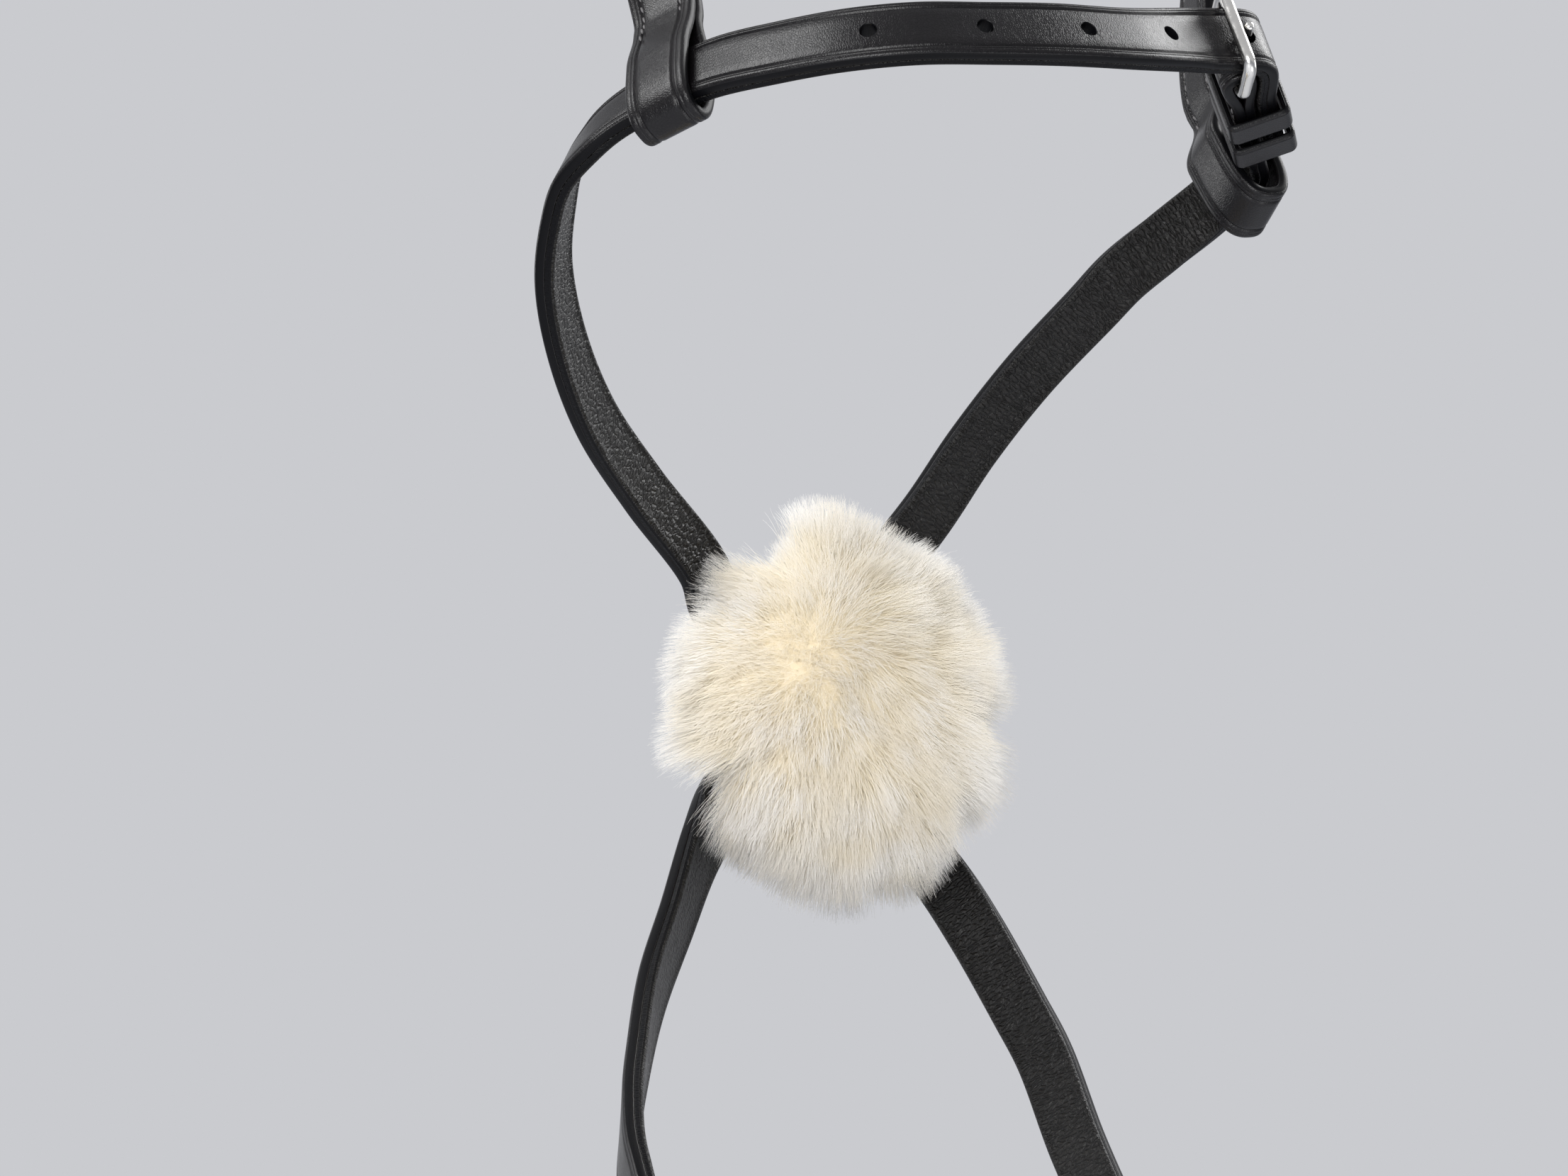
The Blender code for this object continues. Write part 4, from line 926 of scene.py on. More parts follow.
def add_node(tree, kind, inputs, **properties):
    """Adds a shader node; its inputs are given as values, or as sockets to link into them."""
    node = tree.nodes.new("ShaderNode" + kind)
    for name, value in properties.items():
        setattr(node, name, value)
    for name, value in inputs.items():
        if isinstance(value, bpy.types.NodeSocket):
            tree.links.new(value, node.inputs[name])
        else:
            node.inputs[name].default_value = value
    return node


def new_material(name, values):
    """Material with one Principled shader, its constants set on the shader's own sockets."""
    material = bpy.data.materials.new(name)
    material.use_nodes = True
    shader = material.node_tree.nodes["Principled BSDF"]
    for key, value in values.items():
        shader.inputs[key].default_value = value
    return material, material.node_tree


def attach(material, sockets):
    """Links sockets into the material's Principled shader and gives the material back."""
    shader = material.node_tree.nodes["Principled BSDF"]
    for name, socket in sockets.items():
        material.node_tree.links.new(socket, shader.inputs[name])
    return material


def shaded(colour, share=1.0):
    return (colour[0] * share, colour[1] * share, colour[2] * share, 1.0)


def leather_material(name, face, edge, cell, wrinkle, depth, roughness, edge_roughness):
    """Dyed hide with painted edges. cell is its grain in metres, wrinkle the stretch of it across the strap.

    The zone map says where the face ends and the painted edge begins; the grain follows the hide map.
    """
    material, tree = new_material(name, {"IOR": 1.5})
    hide = add_node(tree, "UVMap", {}, uv_map="hide").outputs["UV"]
    zone = add_node(tree, "UVMap", {}, uv_map="zone").outputs["UV"]
    zone = add_node(tree, "SeparateXYZ", {"Vector": zone}).outputs["X"]
    past_face = add_node(tree, "Math", {0: zone, 1: EDGE_ZONE[0]}, operation='GREATER_THAN').outputs[0]
    before_back = add_node(tree, "Math", {0: zone, 1: EDGE_ZONE[1]}, operation='LESS_THAN').outputs[0]
    on_edge = add_node(tree, "Math", {0: past_face, 1: before_back}, operation='MULTIPLY').outputs[0]
    stretch = add_node(tree, "Mapping", {"Scale": (1.0, wrinkle, 1.0), "Vector": hide}).outputs[0]
    warp = add_node(tree, "TexNoise", {"Scale": 0.35 / cell, "Detail": 3.0, "Roughness": 0.6,
                                       "Vector": stretch}, noise_dimensions='2D').outputs["Color"]
    sway = add_node(tree, "VectorMath", {0: warp, "Scale": 1.6 * cell}, operation='SCALE').outputs[0]
    bent = add_node(tree, "VectorMath", {0: stretch, 1: sway}, operation='ADD').outputs[0]
    cells = add_node(tree, "TexVoronoi", {"Scale": 1.0 / cell, "Vector": bent}, voronoi_dimensions='2D',
                     feature='DISTANCE_TO_EDGE').outputs["Distance"]
    domes = add_node(tree, "MapRange", {"Value": cells, "From Max": 0.28},
                     interpolation_type='SMOOTHSTEP').outputs[0]
    fine = add_node(tree, "TexNoise", {"Scale": 2.2 / cell, "Detail": 4.0, "Roughness": 0.65,
                                       "Vector": bent}, noise_dimensions='2D').outputs["Fac"]
    grain = add_node(tree, "Math", {0: fine, 1: 0.9, 2: domes}, operation='MULTIPLY_ADD').outputs[0]
    # The burnished edge keeps a little of the grain
    off_edge = add_node(tree, "Math", {0: 1.0, 1: on_edge}, operation='SUBTRACT').outputs[0]
    kept = add_node(tree, "Math", {0: off_edge, 1: 0.82, 2: 0.18}, operation='MULTIPLY_ADD').outputs[0]
    height = add_node(tree, "Math", {0: grain, 1: kept}, operation='MULTIPLY').outputs[0]
    relief = add_node(tree, "Bump", {"Strength": 1.0, "Distance": depth, "Height": height}).outputs[0]
    place = add_node(tree, "TexCoord", {}).outputs["Object"]
    mottle = add_node(tree, "TexNoise", {"Scale": 1 / (9 * MM), "Detail": 3.0,
                                         "Vector": place}).outputs["Fac"]
    tone = add_node(tree, "Mix", {0: mottle, 6: shaded(face, 0.75), 7: shaded(face, 1.3)},
                    data_type='RGBA').outputs[2]
    # Painted shade: the valleys between the grain's domes are darkened to 0.45 of the face colour, where
    # shade would fall, so that the domes read as lit
    tone = add_node(tree, "Mix", {0: domes, 6: shaded(face, 0.45), 7: tone}, data_type='RGBA').outputs[2]
    tone = add_node(tree, "Mix", {0: on_edge, 6: tone, 7: shaded(edge)}, data_type='RGBA').outputs[2]
    rough = add_node(tree, "MapRange", {"Value": mottle, "To Min": roughness - 0.07,
                                        "To Max": roughness + 0.10}).outputs[0]
    rough = add_node(tree, "Mix", {0: on_edge, 2: rough, 3: edge_roughness}, data_type='FLOAT').outputs[0]
    # The dye and wax take part of the shine, and the burnished edges have less of it than the face
    shine = add_node(tree, "Mix", {0: on_edge, 2: 0.27, 3: 0.10}, data_type='FLOAT').outputs[0]
    return attach(material, {"Base Color": tone, "Roughness": rough, "Specular IOR Level": shine,
                             "Normal": relief})


def made_once(make):
    """Gives back the material of a maker's name if there is one already."""
    def known_or_made():
        return bpy.data.materials.get(make.__name__) or make(make.__name__)

    return known_or_made


@made_once
def waxed_bridle_leather(name):
    """Bridle butt, drum dyed black, waxed and hot creased: a close grain with a soft, even sheen."""
    leather = bpy.context.scene.noseband_leather
    # Real pores are about 0.1 mm; they are drawn at 0.55 mm so that they show
    return leather_material(name, leather.face_colour, leather.edge_colour, cell=0.55 * MM, wrinkle=0.7,
                            depth=0.02 * MM, roughness=0.28, edge_roughness=0.34)


@made_once
def pebbled_lining_leather(name):
    """Softer lining hide, drummed so that its grain breaks into pebbles and crosswise wrinkles."""
    leather = bpy.context.scene.noseband_leather
    return leather_material(name, leather.lining_colour, leather.edge_colour, cell=1.0 * MM, wrinkle=0.5,
                            depth=0.24 * MM, roughness=0.33, edge_roughness=0.36)


@made_once
def waxed_thread(name):
    """Twisted linen thread, drawn through beeswax: dark, with a dull shine on each stitch."""
    thread = bpy.context.scene.noseband_leather.thread_colour
    material, tree = new_material(name, {"Roughness": 0.55, "IOR": 1.5})
    place = add_node(tree, "TexCoord", {}).outputs["Object"]
    twist = add_node(tree, "TexNoise", {"Scale": 1 / (0.4 * MM), "Detail": 2.0,
                                        "Vector": place}).outputs["Fac"]
    tone = add_node(tree, "Mix", {0: twist, 6: shaded(thread, 0.6), 7: shaded(thread, 1.4)},
                    data_type='RGBA').outputs[2]
    relief = add_node(tree, "Bump", {"Strength": 0.6, "Distance": 0.1 * MM, "Height": twist}).outputs[0]
    return attach(material, {"Base Color": tone, "Normal": relief})


@made_once
def sheepskin_wool(name):
    """Lamb's wool on its hide, washed and combed: cream, yellower towards the hide, with a dull lustre."""
    wool = bpy.context.scene.noseband_wool
    material, tree = new_material(name, {"Roughness": 0.75, "IOR": 1.55, "Specular IOR Level": 0.2,
                                         "Sheen Weight": 0.5, "Sheen Roughness": 0.5})
    strand = add_node(tree, "UVMap", {}, uv_map="strand").outputs["UV"]
    strand = add_node(tree, "SeparateXYZ", {"Vector": strand}).outputs
    tip = add_node(tree, "MapRange", {"Value": strand["X"], "From Min": 0.25, "From Max": 0.9},
                   interpolation_type='SMOOTHSTEP').outputs[0]
    place = add_node(tree, "TexCoord", {}).outputs["Object"]
    patch = add_node(tree, "TexNoise", {"Scale": 1 / (16 * MM), "Detail": 2.0,
                                        "Vector": place}).outputs["Fac"]
    pale = add_node(tree, "MapRange", {"Value": patch, "From Min": 0.42, "From Max": 0.62, "To Min": 1.0,
                                       "To Max": 0.45}).outputs[0]
    tip = add_node(tree, "Math", {0: tip, 1: pale}, operation='MULTIPLY').outputs[0]
    tone = add_node(tree, "Mix", {0: tip, 6: shaded(wool.deep_colour), 7: shaded(wool.tip_colour)},
                    data_type='RGBA').outputs[2]
    each = add_node(tree, "MapRange", {"Value": strand["Y"], "To Min": 0.92, "To Max": 1.02}).outputs[0]
    tone = add_node(tree, "VectorMath", {0: tone, "Scale": each}, operation='SCALE').outputs[0]
    return attach(material, {"Base Color": tone})


@made_once
def nickel_plate_polished(name):
    """Steel wire, polished and nickel plated: bright and slightly warm, with faint handling haze."""
    metal = bpy.context.scene.noseband_metal
    material, tree = new_material(name, {"Base Color": shaded(metal.nickel_colour), "Metallic": 1.0})
    place = add_node(tree, "TexCoord", {}).outputs["Object"]
    haze = add_node(tree, "TexNoise", {"Scale": 1 / (2.5 * MM), "Detail": 4.0,
                                       "Vector": place}).outputs["Fac"]
    rough = add_node(tree, "MapRange", {"Value": haze, "From Min": 0.35, "From Max": 0.7,
                                        "To Min": metal.nickel_roughness - 0.04,
                                        "To Max": metal.nickel_roughness + 0.12}).outputs[0]
    relief = add_node(tree, "Bump", {"Strength": 0.15, "Distance": 0.05 * MM, "Height": haze}).outputs[0]
    return attach(material, {"Roughness": rough, "Normal": relief})


@made_once
def turned_brass(name):
    """Brass burr, left dull: warm yellow with darker tarnish in patches."""
    brass = bpy.context.scene.noseband_metal.brass_colour
    material, tree = new_material(name, {"Metallic": 1.0})
    place = add_node(tree, "TexCoord", {}).outputs["Object"]
    tarnish = add_node(tree, "TexNoise", {"Scale": 1 / (1.5 * MM), "Detail": 4.0,
                                          "Vector": place}).outputs["Fac"]
    tone = add_node(tree, "Mix", {0: tarnish, 6: shaded(brass, 0.5), 7: shaded(brass)},
                    data_type='RGBA').outputs[2]
    rough = add_node(tree, "MapRange", {"Value": tarnish, "To Min": 0.25, "To Max": 0.55}).outputs[0]
    return attach(material, {"Base Color": tone, "Roughness": rough})


# ---------------------------------------------------------------- pieces


def strap_holes(path, buckle, before, after, lift, thick):
    """Round holes a pitch apart, before and after the working one that the tongue stands in."""
    working = path.nearest(buckle.tongue_crossing())
    places = []
    for k in [*range(-before, 0), *range(1, after + 1)]:
        point, _, normal, _ = path.at(working + k * HOLE_PITCH)
        places.append((point + normal * lift, normal, HOLE_RADIUS, thick))
    places.append((buckle.tongue_crossing(), buckle.toward_bar, WORKING_HOLE_RADIUS, thick + CUTTER_OVERRUN))
    return places


def lined_holes(path, buckle, before, after):
    """Holes of a lined strap: the buckle's own and the rivet's."""
    holes = strap_holes(path, buckle, before, after, (buckle.over - buckle.under) / 2,
                        buckle.under + buckle.over + PLY_GAP)
    rivet = crossing_place(NOSE_REACH), Vector((0, 1, 0)), RIVET_RADIUS + RIVET_CLEARANCE, RIVET_CUTTER_LENGTH
    return holes + [rivet]


def tongue_slot(buckle):
    """Place and size of the slot that the tongue stands in, where the chape folds round the bar."""
    long = RAMP_LENGTH * SLOT_REACH_SHARE + buckle.fold_radius + buckle.chape_ply
    middle = long / 2 - RAMP_LENGTH * SLOT_REACH_SHARE
    tall = 2 * (buckle.fold_radius + buckle.chape_ply)
    wide = 2 * (TONGUE_RADIUS + SLOT_CLEARANCE)
    turn = Matrix((buckle.u, buckle.n, buckle.u.cross(buckle.n))).transposed().to_4x4()
    return Matrix.Translation(buckle.spot(middle, 0.0)) @ turn, (long, tall, wide)


def strap_pair(name, path, buckle, half_width, holes, slot):
    """Outer ply, folded round the buckle's bar, and its lining; the path starts at the bar."""
    leather = bpy.context.scene.noseband_leather
    end = path.total
    outer = fold_stations(buckle.fold_points(CHAPE_LAP), path.at(RAMP_LENGTH)[3], buckle.width)
    outer += run_stations(path, RAMP_LENGTH, end, (PLY_GAP + OUTER_PLY) / 2, half_width, True)
    lining = run_stations(path, CHAPE_LAP + PLY_GAP, end, -(PLY_GAP + LINING_PLY) / 2, half_width, True)
    face = loft(name + "_outer_dressed", outer, strap_outline(OUTER_PLY, leather.strap_crease, False, -1))
    back = loft(name + "_lining_dressed", lining, strap_outline(LINING_PLY, None, True, 1))
    cut(face, holes + [slot])
    cut(back, holes)
    dress(face, waxed_bridle_leather(), "noseband", "black_leather", name + "_outer")
    dress(back, pebbled_lining_leather(), "noseband", "pebbled_lining", name + "_lining")


def looped_end(path, loop):
    """Stations from the end of a loop's lap down, under the strap and up to the throat's outer side."""
    lap = run_stations(path, 0.0, LOOP_LAP, -(PLY_GAP + CHEEK_PLY) / 2, cheek_half_width)[::-1]
    return lap + fold_stations(loop.fold_points(), path.at(0.0)[3], CHEEK_WIDTH)


class NOSEBAND_OT_nose_straps(bpy.types.Operator):
    """Lay the two lined straps that cross on the nose, with their creases, beads and punched holes"""
    bl_idname = "noseband.nose_straps"
    bl_label = "Nose Straps"

    def execute(self, context):
        routes = Routes()
        near, off = routes.near, routes.off
        near_width = strap_width(near, NEAR_LOOP_SHARES)
        strap_pair("near_strap", near.reversed(), routes.chin, lambda length: near_width(near.total - length),
                   lined_holes(near, routes.jaw, 1, 4), tongue_slot(routes.chin))
        strap_pair("off_strap", off, routes.jaw, strap_width(off, OFF_LOOP_SHARES),
                   lined_holes(off, routes.chin, 3, 1), tongue_slot(routes.jaw))
        return {'FINISHED'}


class NOSEBAND_OT_cheekpieces(bpy.types.Operator):
    """Hang the near cheekpiece and the head strap, each folded round a nose strap"""
    bl_idname = "noseband.cheekpieces"
    bl_label = "Cheekpieces"

    def execute(self, context):
        routes = Routes()
        height = (PLY_GAP + CHEEK_PLY) / 2
        outline = strap_outline(CHEEK_PLY, context.scene.noseband_leather.cheek_crease, False)
        cheek, head, buckle = routes.near_cheek, routes.head, routes.cheek
        stations = looped_end(cheek, routes.near_loop)
        stations += run_stations(cheek, 0.0, cheek.total - RAMP_LENGTH, height, cheek_half_width)
        stations += fold_stations(buckle.fold_points(CHAPE_LAP)[::-1], cheek.at(cheek.total)[3], CHEEK_WIDTH)
        piece = loft("near_cheekpiece_dressed", stations, outline)
        cut(piece, [tongue_slot(buckle)])
        dress(piece, waxed_bridle_leather(), "noseband", "black_leather", "near_cheekpiece")
        stations = looped_end(head, routes.off_loop)
        stations += run_stations(head, 0.0, head.total, height, cheek_half_width, True)
        piece = loft("head_strap_dressed", stations, outline)
        cut(piece, strap_holes(head, buckle, 3, 1, height, CHEEK_PLY))
        dress(piece, waxed_bridle_leather(), "noseband", "black_leather", "head_strap")
        return {'FINISHED'}


class NOSEBAND_OT_buckles(bpy.types.Operator):
    """Bend the wire frames and tongues of the jaw, chin and cheek buckles"""
    bl_idname = "noseband.buckles"
    bl_label = "Buckles"

    def execute(self, context):
        for buckle in Routes().buckles():
            outline = rounded_outline(buckle.half_frame, 0.0, buckle.reach, FRAME_CORNER, 10)
            rings = []
            for k, (x, a) in enumerate(outline):
                ahead, behind = outline[(k + 1) % len(outline)], outline[k - 1]
                run = buckle.w * (ahead[0] - behind[0]) + buckle.toward_bar * (ahead[1] - behind[1])
                side = run.normalized().cross(buckle.off_bar)
                rings.append((buckle.hinge + buckle.w * x + buckle.toward_bar * a, side, buckle.off_bar,
                              WIRE_RADIUS))
            self.bent(buckle, "frame", rings, True)
            self.tongue(buckle)
        return {'FINISHED'}

    def tongue(self, buckle):
        eye, end = buckle.eye_radius, buckle.reach + TONGUE_OVERHANG
        line = []
        for k in range(33):
            angle = math.radians(365 - 275 * k / 32)
            line.append((eye * math.cos(angle), eye * math.sin(angle), 1.0))
        line += [(end * k / 16, eye, 1.0) for k in range(1, 16)]
        line.insert(0, (line[0][0], line[0][1] + 0.3 * MM, 0.35))
        for back, swell in ((0.6, 0.98), (0.3, 0.82), (0.1, 0.5), (0.0, 0.18)):
            line.append((end - back * TONGUE_RADIUS, eye, swell))
        rings = []
        for k, (a, b, swell) in enumerate(line):
            after, before = line[min(k + 1, len(line) - 1)], line[max(k - 1, 0)]
            run = buckle.toward_bar * (after[0] - before[0]) + buckle.off_bar * (after[1] - before[1])
            side = run.normalized().cross(buckle.w)
            rings.append((buckle.hinge + buckle.toward_bar * a + buckle.off_bar * b, side, buckle.w,
                          TONGUE_RADIUS * swell))
        self.bent(buckle, "tongue", rings, False)

    def bent(self, buckle, kind, rings, closed):
        node = "%s_buckle_%s" % (buckle.name, kind)
        piece = wire(node + "_dressed", rings, closed)
        dress(piece, nickel_plate_polished(), "%s_%s" % (buckle.name, kind), "nickel_plate", node)


class NOSEBAND_OT_keepers(bpy.types.Operator):
    """Slip the fixed and running keepers onto the chapes"""
    bl_idname = "noseband.keepers"
    bl_label = "Keepers"

    def execute(self, context):
        outline = strap_outline(KEEPER_WALL, None, False)
        for buckle in Routes().buckles():
            low = -(buckle.chape_height + buckle.chape_ply / 2) - KEEPER_CLEARANCE - KEEPER_WALL / 2
            high = buckle.billet_height + buckle.over + KEEPER_CLEARANCE + KEEPER_WALL / 2
            half = buckle.width / 2 + KEEPER_CLEARANCE + KEEPER_WALL / 2
            middle = rounded_outline(half, low, high, KEEPER_CORNER - KEEPER_WALL / 4, 8)
            for kind, place, body in (("fixed", FIXED_KEEPER_PLACE, "noseband"),
                                      ("runner", RUNNER_PLACE, buckle.name + "_runner")):
                stations = [(buckle.spot(-place, n, w), -buckle.u, KEEPER_LENGTH / 2) for w, n in middle]
                name = "%s_%s_keeper" % (buckle.name, kind)
                piece = loft(name + "_dressed", stations, outline, True)
                dress(piece, waxed_bridle_leather(), body, "black_leather", name)
        return {'FINISHED'}


def disc_profile(radius, low, high, hole, crease):
    """Half section of a leather disc with rounded rims and one crease ring on its outer face."""
    inset = radius - DISC_CORNER
    rim = [(DISC_CORNER * math.sin(angle), DISC_CORNER * (1 - math.cos(angle)))
           for angle in (math.pi / 8, math.pi / 4, 3 * math.pi / 8, math.pi / 2)]
    profile = [(hole, low), (inset, low)] + [(inset + out, low + rise) for out, rise in rim]
    profile += [(inset + out, high - rise) for out, rise in rim[::-1]] + [(inset, high)]
    if crease:
        for offset, depth in ((0.4, 0.0), (0.0, 0.22), (-0.4, 0.0)):
            profile.append((radius - DISC_CREASE_INSET + offset * MM, high - depth * MM))
    profile += [(hole + 0.3 * MM, high), (hole, high - 0.2 * MM), (hole, low)]
    return profile


class NOSEBAND_OT_crossing(bpy.types.Operator):
    """Stack the nose disc, backing disc, rivet and burr on the crossing"""
    bl_idname = "noseband.crossing"
    bl_label = "Crossing"

    def execute(self, context):
        stack = OUTER_PLY + LINING_PLY + 2.5 * PLY_GAP
        disc_low = NOSE_REACH + stack
        disc_high = disc_low + NOSE_DISC_THICKNESS
        back_high = NOSE_REACH - stack
        back_low = back_high - BACKING_THICKNESS
        hole = RIVET_RADIUS + RIVET_CLEARANCE
        centre = crossing_place(0.0)
        for name, radius, low, high, creased in (("nose_disc", NOSE_DISC_RADIUS, disc_low, disc_high, True),
                                                 ("pad_backing", BACKING_RADIUS, back_low, back_high, False)):
            piece = turned(name + "_dressed", disc_profile(radius, low, high, hole, creased), centre)
            dress(piece, waxed_bridle_leather(), "noseband", "black_leather", name)
        burr_high = back_low - PLY_GAP
        burr_low = burr_high - BURR_THICKNESS
        head_low = disc_high + PLY_GAP
        peen_high = burr_low - PLY_GAP
        peen_low = peen_high - RIVET_PEEN_HEIGHT
        profile = [(0.0, peen_low), (RIVET_RADIUS, peen_low),
                   (RIVET_PEEN_RADIUS, (peen_low + peen_high) / 2), (RIVET_PEEN_RADIUS, peen_high),
                   (RIVET_RADIUS, peen_high), (RIVET_RADIUS, head_low),
                   (RIVET_HEAD_RADIUS - 0.3 * MM, head_low)]
        for k in range(13):
            angle = math.pi / 2 * k / 12
            profile.append((RIVET_HEAD_RADIUS * math.cos(angle),
                            head_low + 0.25 * MM + (RIVET_HEAD_HEIGHT - 0.25 * MM) * math.sin(angle)))
        profile[-1] = (0.0, head_low + RIVET_HEAD_HEIGHT)
        piece = turned("crossing_rivet_dressed", profile, centre)
        dress(piece, nickel_plate_polished(), "noseband", "nickel_plate", "crossing_rivet")
        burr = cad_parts["crossing_rivet_burr"]
        burr.data.materials.clear()
        burr.data.materials.append(turned_brass())
        return {'FINISHED'}


def add_stitch(bm, centre, along, outward):
    """One stitch: a small bead of thread, long along its row and sunk halfway into the leather."""
    length = bpy.context.scene.noseband_leather.stitch_pitch * STITCH_SHARE
    side = outward.cross(along).normalized()
    slant = (along * math.cos(STITCH_SLANT) + side * math.sin(STITCH_SLANT)).normalized()
    turn = Matrix((slant, outward.cross(slant).normalized(), outward)).transposed().to_4x4()
    scale = Matrix.Diagonal((length / 2, THREAD_RADIUS, THREAD_RADIUS, 1.0))
    bmesh.ops.create_uvsphere(bm, u_segments=8, v_segments=5, radius=1,
                              matrix=Matrix.Translation(centre) @ turn @ scale)


class NOSEBAND_OT_stitching(bpy.types.Operator):
    """Sew the cheek loops, chapes and nose disc with waxed thread"""
    bl_idname = "noseband.stitching"
    bl_label = "Stitching"

    def execute(self, context):
        routes = Routes()
        self.leather = context.scene.noseband_leather
        self.loop("near_loop_stitching", routes.near_cheek, routes.near_loop)
        self.loop("off_loop_stitching", routes.head, routes.off_loop)
        for buckle in routes.buckles():
            self.chape(buckle)
        self.disc()
        return {'FINISHED'}

    def loop(self, name, path, loop):
        """Both faces and both edges of a cheek loop's lap and throat."""
        pitch, sunk = self.leather.stitch_pitch, self.leather.crease_depth
        side_reach = CHEEK_WIDTH / 2 - self.leather.cheek_crease
        surface = CHEEK_PLY + PLY_GAP / 2 - sunk
        rows = []
        for k in range(round(LOOP_LAP / pitch)):
            point, tangent, normal, across = path.at(pitch * (k + 0.5))
            rows += [(point + normal * face * surface, tangent, normal * face, across) for face in (-1, 1)]
        for k in range(math.floor(LOOP_THROAT * STITCHED_THROAT / pitch)):
            rise = loop.top - pitch * (k + 0.5)
            for face in (-1, 1):
                out = loop.throat_reach(rise, face) + face * (CHEEK_PLY / 2 - sunk)
                rows.append((loop.spot(out, rise), loop.up, loop.normal * face, across))
        bm = bmesh.new()
        for spot, along, outward, sideways in rows:
            for side in (-1, 1):
                add_stitch(bm, spot + sideways * side * side_reach, along, outward)
        self.sew(name, bm)

    def chape(self, buckle):
        """The folded end round a buckle's bar; a lined chape is sewn through its lower face only."""
        bm = bmesh.new()
        pitch = self.leather.stitch_pitch
        surface = buckle.chape_height + buckle.chape_ply / 2
        for k in range(math.ceil((CHAPE_LAP - RAMP_LENGTH) / pitch)):
            along = -RAMP_LENGTH - pitch * (k + 0.4)
            for side in (-1, 1):
                across = side * (buckle.width / 2 - self.leather.strap_crease)
                for face in (-1, 1) if buckle.name == "cheek" else (-1,):
                    add_stitch(bm, buckle.spot(along, surface * face, across), buckle.u, buckle.n * face)
        self.sew(buckle.name + "_chape_stitching", bm)

    def disc(self):
        bm = bmesh.new()
        ring = NOSE_DISC_RADIUS - DISC_STITCH_INSET
        level = NOSE_REACH + OUTER_PLY + LINING_PLY + 2.5 * PLY_GAP + NOSE_DISC_THICKNESS
        outward = Vector((0, 1, 0))
        count = round(2 * math.pi * ring / self.leather.stitch_pitch)
        for k in range(count):
            angle = 2 * math.pi * k / count
            spoke = Vector((math.cos(angle), 0.0, math.sin(angle)))
            add_stitch(bm, crossing_place(level) + spoke * ring, spoke.cross(outward), outward)
        self.sew("nose_disc_stitching", bm)

    def sew(self, name, bm):
        dress(finished(name, bm), waxed_thread(), "noseband", "black_leather")


# ---------------------------------------------------------------- sheepskin


def strand_pattern():
    """Unit strand along Z, three-sided and tapering, cut across where it will bend; points and faces."""
    bm = bmesh.new()
    bmesh.ops.create_cone(bm, cap_ends=True, cap_tris=True, segments=3, radius1=1.0, radius2=0.22, depth=1.0,
                          matrix=Matrix.Translation((0, 0, 0.5)))
    for height in (0.25, 0.5, 0.72, 0.88):
        bmesh.ops.bisect_plane(bm, geom=bm.verts[:] + bm.edges[:] + bm.faces[:], plane_co=(0, 0, height),
                               plane_no=(0, 0, 1))
    return as_arrays(bm)


def as_arrays(bm):
    """Points and triangles of a bmesh, which is freed."""
    bmesh.ops.triangulate(bm, faces=bm.faces)
    bm.verts.index_update()
    points = np.array([vert.co[:] for vert in bm.verts])
    faces = np.array([[vert.index for vert in face.verts] for face in bm.faces])
    bm.free()
    return points, faces


def unit(rows):
    return rows / np.maximum(np.linalg.norm(rows, axis=-1, keepdims=True), 1e-12)


class Pad:
    """The pad's form: a dome over the hide, its middle on the crossing, opening towards the horse (-Y)."""

    def __init__(self, pile):
        stack = OUTER_PLY + LINING_PLY + 3.5 * PLY_GAP + BACKING_THICKNESS
        self.middle = np.array(crossing_place(NOSE_REACH - stack) - Vector((0, 0, PAD_LOWERING)))
        self.middle += np.array([WOOL_SHIFT, -0.30 * PAD_DEPTH, 0.0])
        self.radii = np.array([PAD_WIDTH / 2, 0.70 * PAD_DEPTH, PAD_HEIGHT / 2])
        self.radii -= pile * np.array(DOME_SINKING)
        self.back = 0.30 * PAD_DEPTH - 1.5 * MM

    def surface(self, spread):
        """Points on the dome and their outward normals, for unit directions."""
        place = spread * self.radii
        inward = notch_depth(spread) * DOME_NOTCH_SHARE
        place[:, 0] -= spread[:, 0] * inward
        place[:, 2] -= spread[:, 2] * inward
        place[:, 1] = np.minimum(place[:, 1], self.back)
        return self.middle + place, unit(spread / self.radii)


def notch_depth(spread):
    """Depth of the notches in the wool's rim, in metres, for unit directions; none in the pad's middle."""
    angle = np.degrees(np.arctan2(spread[:, 2], spread[:, 0]))
    rim = np.clip((np.hypot(spread[:, 0], spread[:, 2]) - 0.55) / 0.35, 0, 1)
    depth = np.zeros(len(spread))
    for place, half_width, deep in RIM_NOTCHES:
        apart = (angle - place + 180) % 360 - 180
        depth += deep * MM * np.clip(1 - (apart / half_width) ** 2, 0, 1)
    return depth * rim


def spread_points(count):
    """Even unit directions over the part of a ball that the wool grows from."""
    index = np.arange(count) + 0.5
    depth = -1.0 + 1.42 * index / count
    turn = index * math.pi * (3 - math.sqrt(5))
    flat = np.sqrt(np.maximum(0.0, 1 - depth ** 2))
    return np.stack([flat * np.cos(turn), depth, flat * np.sin(turn)], axis=1)


